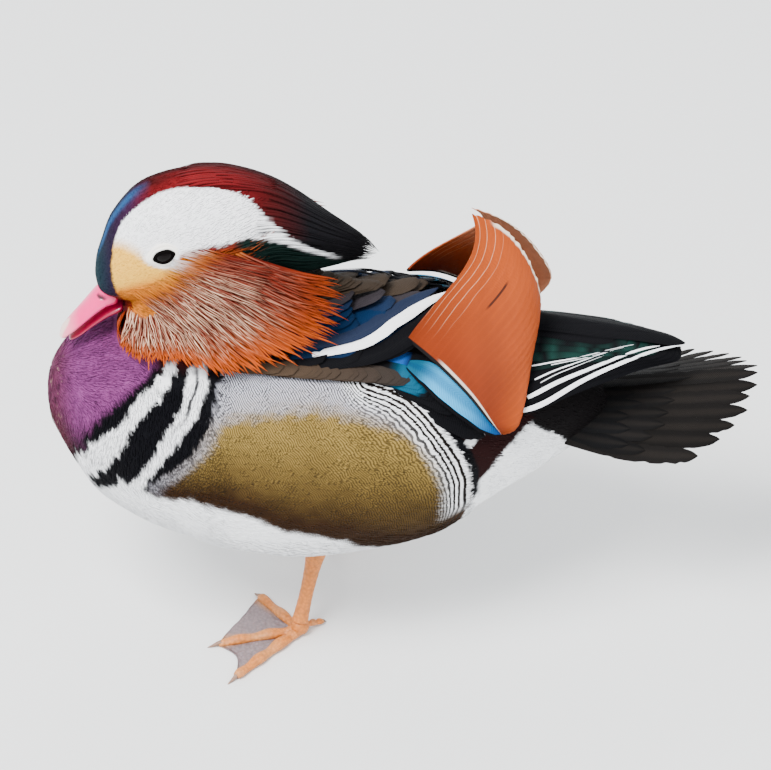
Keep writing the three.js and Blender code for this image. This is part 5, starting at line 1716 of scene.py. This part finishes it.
def eye_ring(half_wide, half_high, thick, depth, tint):
    """A ring of round section about the left eye: an almond with pointed corners that follows the ball where
    the ball stands out further than the depth."""
    angle = np.linspace(0, 2 * math.pi, RING_STATIONS, endpoint=False)
    point = 1 + 0.16 * np.abs(np.cos(angle)) ** 8
    flat = np.stack([half_wide * point * np.cos(angle), half_high * np.sin(angle)], -1)
    c, s = math.cos(EYE_LEAN), math.sin(EYE_LEAN)
    flat = flat @ np.array([[c, s], [-s, c]])
    ball = np.sqrt(np.maximum(EYE_RADIUS**2 - (flat**2).sum(1), 0))
    path = EYE + np.stack([flat[:, 0], -np.maximum(ball + 0.1, depth), flat[:, 1]], -1)
    way = unit(np.roll(path, -1, 0) - np.roll(path, 1, 0))
    side = unit(np.cross(way, [0, 1.0, 0]))
    up = np.cross(side, way)
    turn = np.linspace(0, 2 * math.pi, RING_SIDES, endpoint=False)[:, None]
    thick = thick * (1 + 0.55 * np.abs(np.cos(angle)) ** 6)[:, None, None]
    points = path[:, None] + thick * (side[:, None] * np.cos(turn) + up[:, None] * np.sin(turn))
    quads = grid_faces(RING_STATIONS + 1, RING_SIDES, True) % (RING_STATIONS * RING_SIDES)
    return points.reshape(-1, 3), split(quads[:, ::-1]), np.tile(tint, (RING_STATIONS * RING_SIDES, 1))


def eye_pieces():
    """Dark wet balls and, round each, a dark rim of lids and a pale ring of the smallest feathers."""
    made = Finish("eye")
    wet = made.set(colour=tuple(paint(8, 4, 4)), roughness=0.06, specular=0.08)
    made = Finish("lid")
    lid = made.set(colour=made.colour("tint"), roughness=0.8, specular=0.02)
    for name, side in (("left", 1), ("right", -1)):
        middle = EYE * np.array([1, side, 1])
        ball = tube_mesh("eyeball_" + name, turn_head(middle + ball_rings(40, 24) * EYE_RADIUS))
        add_piece(ball, wet, ("eye_" + name,))
        batch = Batch()
        for ring in EYE_RINGS:
            points, faces, tints = eye_ring(*ring)
            batch.add(points, faces, tint=tints)
        add_piece(batch.mesh("lids_" + name, mirrored=side < 0, turned=True), lid)


LEGS = {
    "left": {"side": -1, "hip": (-36, -15, 62), "ankle": (-42.1, -24, 39), "joint": (-49.6, -35.4, 7.5),
             "heading": 14, "spread": 1.0},
    "right": {"side": 1, "hip": (-28, 22, 62), "ankle": (-27, 31, 38), "joint": (-31, 41, 7.5),
              "heading": 15, "spread": 0.62},
}
TOES = [(37, 3.0, -66), (46, 3.3, 0), (51, 3.3, 34)]
HIND_TOE = (15, 2.2, 198)
SOLE = 0.75
LEG_SIDES = 32
TOE_SIDES = 20
CLAW_SIDES = 12
WEB_GRID = (24, 20)
KNOB_RADIUS = 4.6
KNOB_HEIGHT = 4.65
LEG_ORANGE = paint(210, 122, 44)
LEG_PALE = paint(206, 146, 93)
WEB_GREY = paint(132, 116, 118)
CLAW_GREY = paint(150, 116, 96)


def leg_finish():
    """Bare leg skin: small scutes in rows, a little gloss."""
    made = Finish("leg")
    cells = made.node("ShaderNodeTexVoronoi", {"Vector": made.place(), "Scale": 620.0}, output="Distance")
    base = made.scale(made.colour("tint"), 1.05 - cells * 0.45)
    return made.set(colour=base, roughness=0.5, specular=0.4, coat=0.1, coat_roughness=0.3,
                    normal=made.bump(0.0 - cells, 0.0004), subsurface=0.08, subsurface_scale=0.003)


def leg_piece(name, sizes, finish):
    """The feathered thigh and the bare shank down to the toes' joint, as one tube."""
    hip, ankle, joint = (np.array(sizes[key], float) for key in ("hip", "ankle", "joint"))
    places = [hip, hip + (ankle - hip) * 0.4, hip + (ankle - hip) * 0.8, ankle, ankle + (joint - ankle) * 0.2,
              ankle + (joint - ankle) * 0.55, ankle + (joint - ankle) * 0.85, joint]
    rows = smooth_rows([(*p, r) for p, r in zip(places, [9.8, 8.2, 5.9, 4.8, 3.9, 3.4, 3.7, 4.2])], 8)
    ridges = 0.12 * np.maximum(0, np.sin(np.arange(len(rows)) * 1.9)) * smoothstep(rows[:, 2], 42, 34)
    mesh = tube_mesh("shank_" + name, path_rings(rows[:, :3], rows[:, 3] + ridges - 0.1, LEG_SIDES))
    z = np.concatenate([np.repeat(rows[:, 2], LEG_SIDES), [rows[0, 2], rows[-1, 2]]])
    set_colour(mesh, "tint", blend(LEG_ORANGE, BELLY, smoothstep(z, 47, 52)))
    add_piece(mesh, finish, ("leg_" + name,))


def floor_point(sizes, turn, distance):
    """The place on the floor at a distance from a foot's joint, turned outwards from its heading."""
    angle = np.radians(sizes["heading"] + turn)
    x, y, _ = sizes["joint"]
    return np.stack([x - np.cos(angle) * distance, y + sizes["side"] * np.sin(angle) * distance], -1)


def add_toe(batch, sizes, number, length, radius, turn):
    """A toe with knuckles and its claw. The hind one comes last and starts higher."""
    lift = 3.4 if number == len(TOES) else 0.0
    t = np.linspace(-0.04, 0.88, 44)
    knuckle = 1 + 0.13 * np.cos(t * 2 * math.pi * (2.5 + 0.5 * number)) * (t > 0.12)
    thick = radius * np.interp(t, [-0.04, 0.3, 0.6, 0.84, 0.88], [0.93, 0.86, 0.8, 0.7, 0.5]) * knuckle
    height = np.maximum(thick * SOLE, 0) + lift * (1 - t) + 0.05
    path = np.column_stack([floor_point(sizes, turn, t * length), height])
    shade = np.concatenate([np.repeat(0.25 + 0.2 * np.cos(t * 14), TOE_SIDES), [0.2, 0.2]])
    batch.add(*tube(path_rings(path, thick, TOE_SIDES, SOLE)), tint=blend(LEG_ORANGE, LEG_PALE, shade))
    s = np.linspace(0, 1, 14)
    claw = radius * 0.36 * (1 - s) ** 0.7 + 0.08
    height = claw * 0.9 + 0.9 * np.sin(math.pi * np.minimum(s + 0.3, 1)) * (1 - s) + lift * 0.1 + 0.1
    path = np.column_stack([floor_point(sizes, turn, length * (0.85 + 0.15 * s)), height])
    points, triangles = tube(path_rings(path, claw, CLAW_SIDES))
    batch.add(points, triangles, tint=np.tile(CLAW_GREY, (len(points), 1)))


def add_web(batch, sizes, one, two):
    """The thin web between two toes, hollowed at its front edge and folded a little."""
    u, v = np.meshgrid(*(np.linspace(0, 1, count) for count in WEB_GRID), indexing="ij")
    turn = one[2] + (two[2] - one[2]) * u
    length = one[0] + (two[0] - one[0]) * u
    front = length * 0.88 * (1 - 0.17 * np.sin(math.pi * u))
    flat = floor_point(sizes, turn, 2 + (front - 2) * v)
    folds = 0.2 * np.sin(u * 30) * np.sin(math.pi * u)
    top = np.concatenate([flat, (1.15 + folds)[..., None]], -1).reshape(-1, 3)
    low = np.concatenate([flat, 0.2 + 0 * u[..., None]], -1).reshape(-1, 3)
    points = np.vstack([top, low])
    triangles = split(slab_quads(*WEB_GRID))
    if sizes["side"] > 0:
        triangles = triangles[:, ::-1]
    near = np.concatenate([np.sin(math.pi * u).ravel()] * 2)
    batch.add(points, triangles, tint=blend(LEG_PALE * 0.8, WEB_GREY, smoothstep(near, 0.1, 0.6)))


def foot_piece(name, sizes, finish):
    """Three toes and the hind one, the webs between them and the ball of the joint, all in one mesh."""
    batch = Batch()
    toes = [(length, radius, turn * sizes["spread"]) for length, radius, turn in TOES]
    for number, toe in enumerate(toes + [HIND_TOE]):
        add_toe(batch, sizes, number, *toe)
    for one, two in zip(toes, toes[1:]):
        add_web(batch, sizes, one, two)
    x, y, _ = sizes["joint"]
    points, triangles = tube(ball_rings(24, 16) * KNOB_RADIUS + np.array([x, y, KNOB_HEIGHT]))
    batch.add(points, triangles, tint=np.tile(LEG_ORANGE, (len(points), 1)))
    add_piece(batch.mesh("toes_" + name), finish, ("foot_" + name,))


# Everything

COAT_COUNT = 9800
CHEEK_COUNT = 7500


def by_x(places, values):
    """A size that goes with x."""
    return lambda points: np.interp(points[:, 0], places, values)


def half_coat(name, side, front, length, width, finish):
    """The coat of one side of the body, before or behind the bars of the breast."""
    coat_piece(name, finish, COAT_COUNT,
               lambda p: open_body(p) * ((p[:, 0] < -92) == front) * (p[:, 1] * side > 0),
               lambda p: np.full(len(p), length), lambda p: np.full(len(p), width),
               lambda p: 0.12 + 0.2 * ((p[:, 0] < -92) | (p[:, 2] < 80)))


def coat_pieces(finish, silky):
    """The coat of the body, the head and the cheek."""
    half_coat("coat_front_left", -1, True, 4.6, 1.15, finish)
    half_coat("coat_front_right", 1, True, 4.6, 1.15, finish)
    half_coat("coat_side_left", -1, False, 5.4, 1.35, finish)
    half_coat("coat_side_right", 1, False, 5.4, 1.35, finish)
    coat_piece("coat_head", finish, COAT_COUNT, head_coat,
               by_x([-145, -125, -100, -70], [1.5, 2.2, 3.6, 5.0]),
               by_x([-145, -125, -100, -70], [0.45, 0.6, 0.8, 1.1]),
               by_x([-145, -120, -70], [0.05, 0.1, 0.2]))
    coat_piece("coat_cheek", silky, CHEEK_COUNT, cheek_coat,
               by_x([-138, -120, -100, -70], [3.0, 5.5, 10.0, 13.0]),
               by_x([-138, -100, -70], [0.5, 0.75, 0.9]),
               by_x([-138, -100, -70], [0.5, 1.4, 2.4]), 0.24, streak=ORANGE)


def head_locks(silky):
    """The ruffs, the locks of the cheeks and of the throat, and the crest."""
    ruff = ruff_batch()
    add_piece(ruff.mesh("hackles_left", turned=True), silky, ("ruff_left",))
    add_piece(ruff.mesh("hackles_right", mirrored=True, turned=True), silky, ("ruff_right",))
    cheek = cheek_batch()
    add_piece(cheek.mesh("hackles_cheek_left", turned=True), silky)
    add_piece(cheek.mesh("hackles_cheek_right", mirrored=True, turned=True), silky)
    add_piece(throat_batch().mesh("hackles_throat", turned=True), silky)
    add_piece(crest_batch().mesh("crest_locks", turned=True), silky, ("crest",))


def build():
    """The whole bird."""
    coat = plumage_finish("plumage")
    silky = plumage_finish("silky", relief=0.00014, roughness=0.6, specular=0.07, grain=0.25)
    vanes = plumage_finish("vanes", relief=0.00014, roughness=0.6, specular=0.05, grain=0.22)
    web = sail_finish()
    make_skin()
    coat_pieces(coat, silky)
    head_locks(silky)
    for name, mirrored, stand, reach in (("left", False, 1.0, 1.0), ("right", True, 0.45, 0.75)):
        folded, flight = wing_batch(stand), primary_batch(reach)
        add_piece(folded.mesh("folded_" + name, mirrored, sharp=50), vanes, ("wing_" + name,))
        add_piece(flight.mesh("flight_" + name, mirrored, sharp=50), vanes)
        add_piece(sail_mesh(name), web, ("sail_" + name,))
    add_piece(ridge_batch().mesh("flight_ridge", sharp=50), vanes)
    add_piece(tail_batch().mesh("tail_fan", sharp=50), vanes, ("tail",))
    bill_pieces()
    eye_pieces()
    bare_skin = leg_finish()
    for name, sizes in LEGS.items():
        leg_piece(name, sizes, bare_skin)
        foot_piece(name, sizes, bare_skin)


FLOOR_REACH = 6.0
SENSOR = 36
# Lamps: place in metres, power, width
LAMPS = {
    "key": ((-0.8, -0.8, 1.9), 92, 0.9),
    "fill": ((1.2, -0.8, 1.3), 9, 1.4),
    "rim": ((0.3, 1.4, 1.4), 14, 1.0),
}
LIT_POINT = np.array([0, 0, 0.12])


def stage():
    """A pale floor, soft studio light and the camera of the photograph."""
    corners = [(x * FLOOR_REACH, y * FLOOR_REACH, 0) for x, y in ((-1, -1), (1, -1), (1, 1), (-1, 1))]
    mesh = bpy.data.meshes.new("floor")
    mesh.from_pydata(corners, [], [(0, 1, 2, 3)])
    floor = bpy.data.objects.new("floor", mesh)
    bpy.context.scene.collection.objects.link(floor)
    made = Finish("floor")
    mesh.materials.append(made.set(colour=(0.8, 0.8, 0.79), roughness=0.9, specular=0.1))
    world = bpy.data.worlds.new("studio")
    bpy.context.scene.world = world
    world.use_nodes = True
    world.node_tree.nodes["Background"].inputs["Color"].default_value = (0.92, 0.96, 1.0, 1)
    world.node_tree.nodes["Background"].inputs["Strength"].default_value = 1.5
    for name, (place, power, width) in LAMPS.items():
        light = bpy.data.lights.new(name, "AREA")
        light.energy = power
        light.size = width
        lamp = bpy.data.objects.new(name, light)
        lamp.location = place
        way = LIT_POINT - np.array(place)
        tilt = math.atan2(math.hypot(way[0], way[1]), -way[2])
        lamp.rotation_euler = (tilt, 0, math.atan2(-way[0], way[1]))
        bpy.context.scene.collection.objects.link(lamp)
    data = bpy.data.cameras.new("camera")
    data.sensor_width = SENSOR
    data.lens = CAMERA_DISTANCE / PIXEL / PHOTO[0] * SENSOR
    data.clip_end = 20
    camera = bpy.data.objects.new("camera", data)
    camera.location = tuple((CAMERA_TARGET + CAMERA_DISTANCE * BACK) * MM)
    camera.rotation_euler = (math.pi / 2 - CAMERA_HEIGHT_ANGLE, 0, 0)
    bpy.context.scene.collection.objects.link(camera)
    bpy.context.scene.camera = camera


build()
stage()
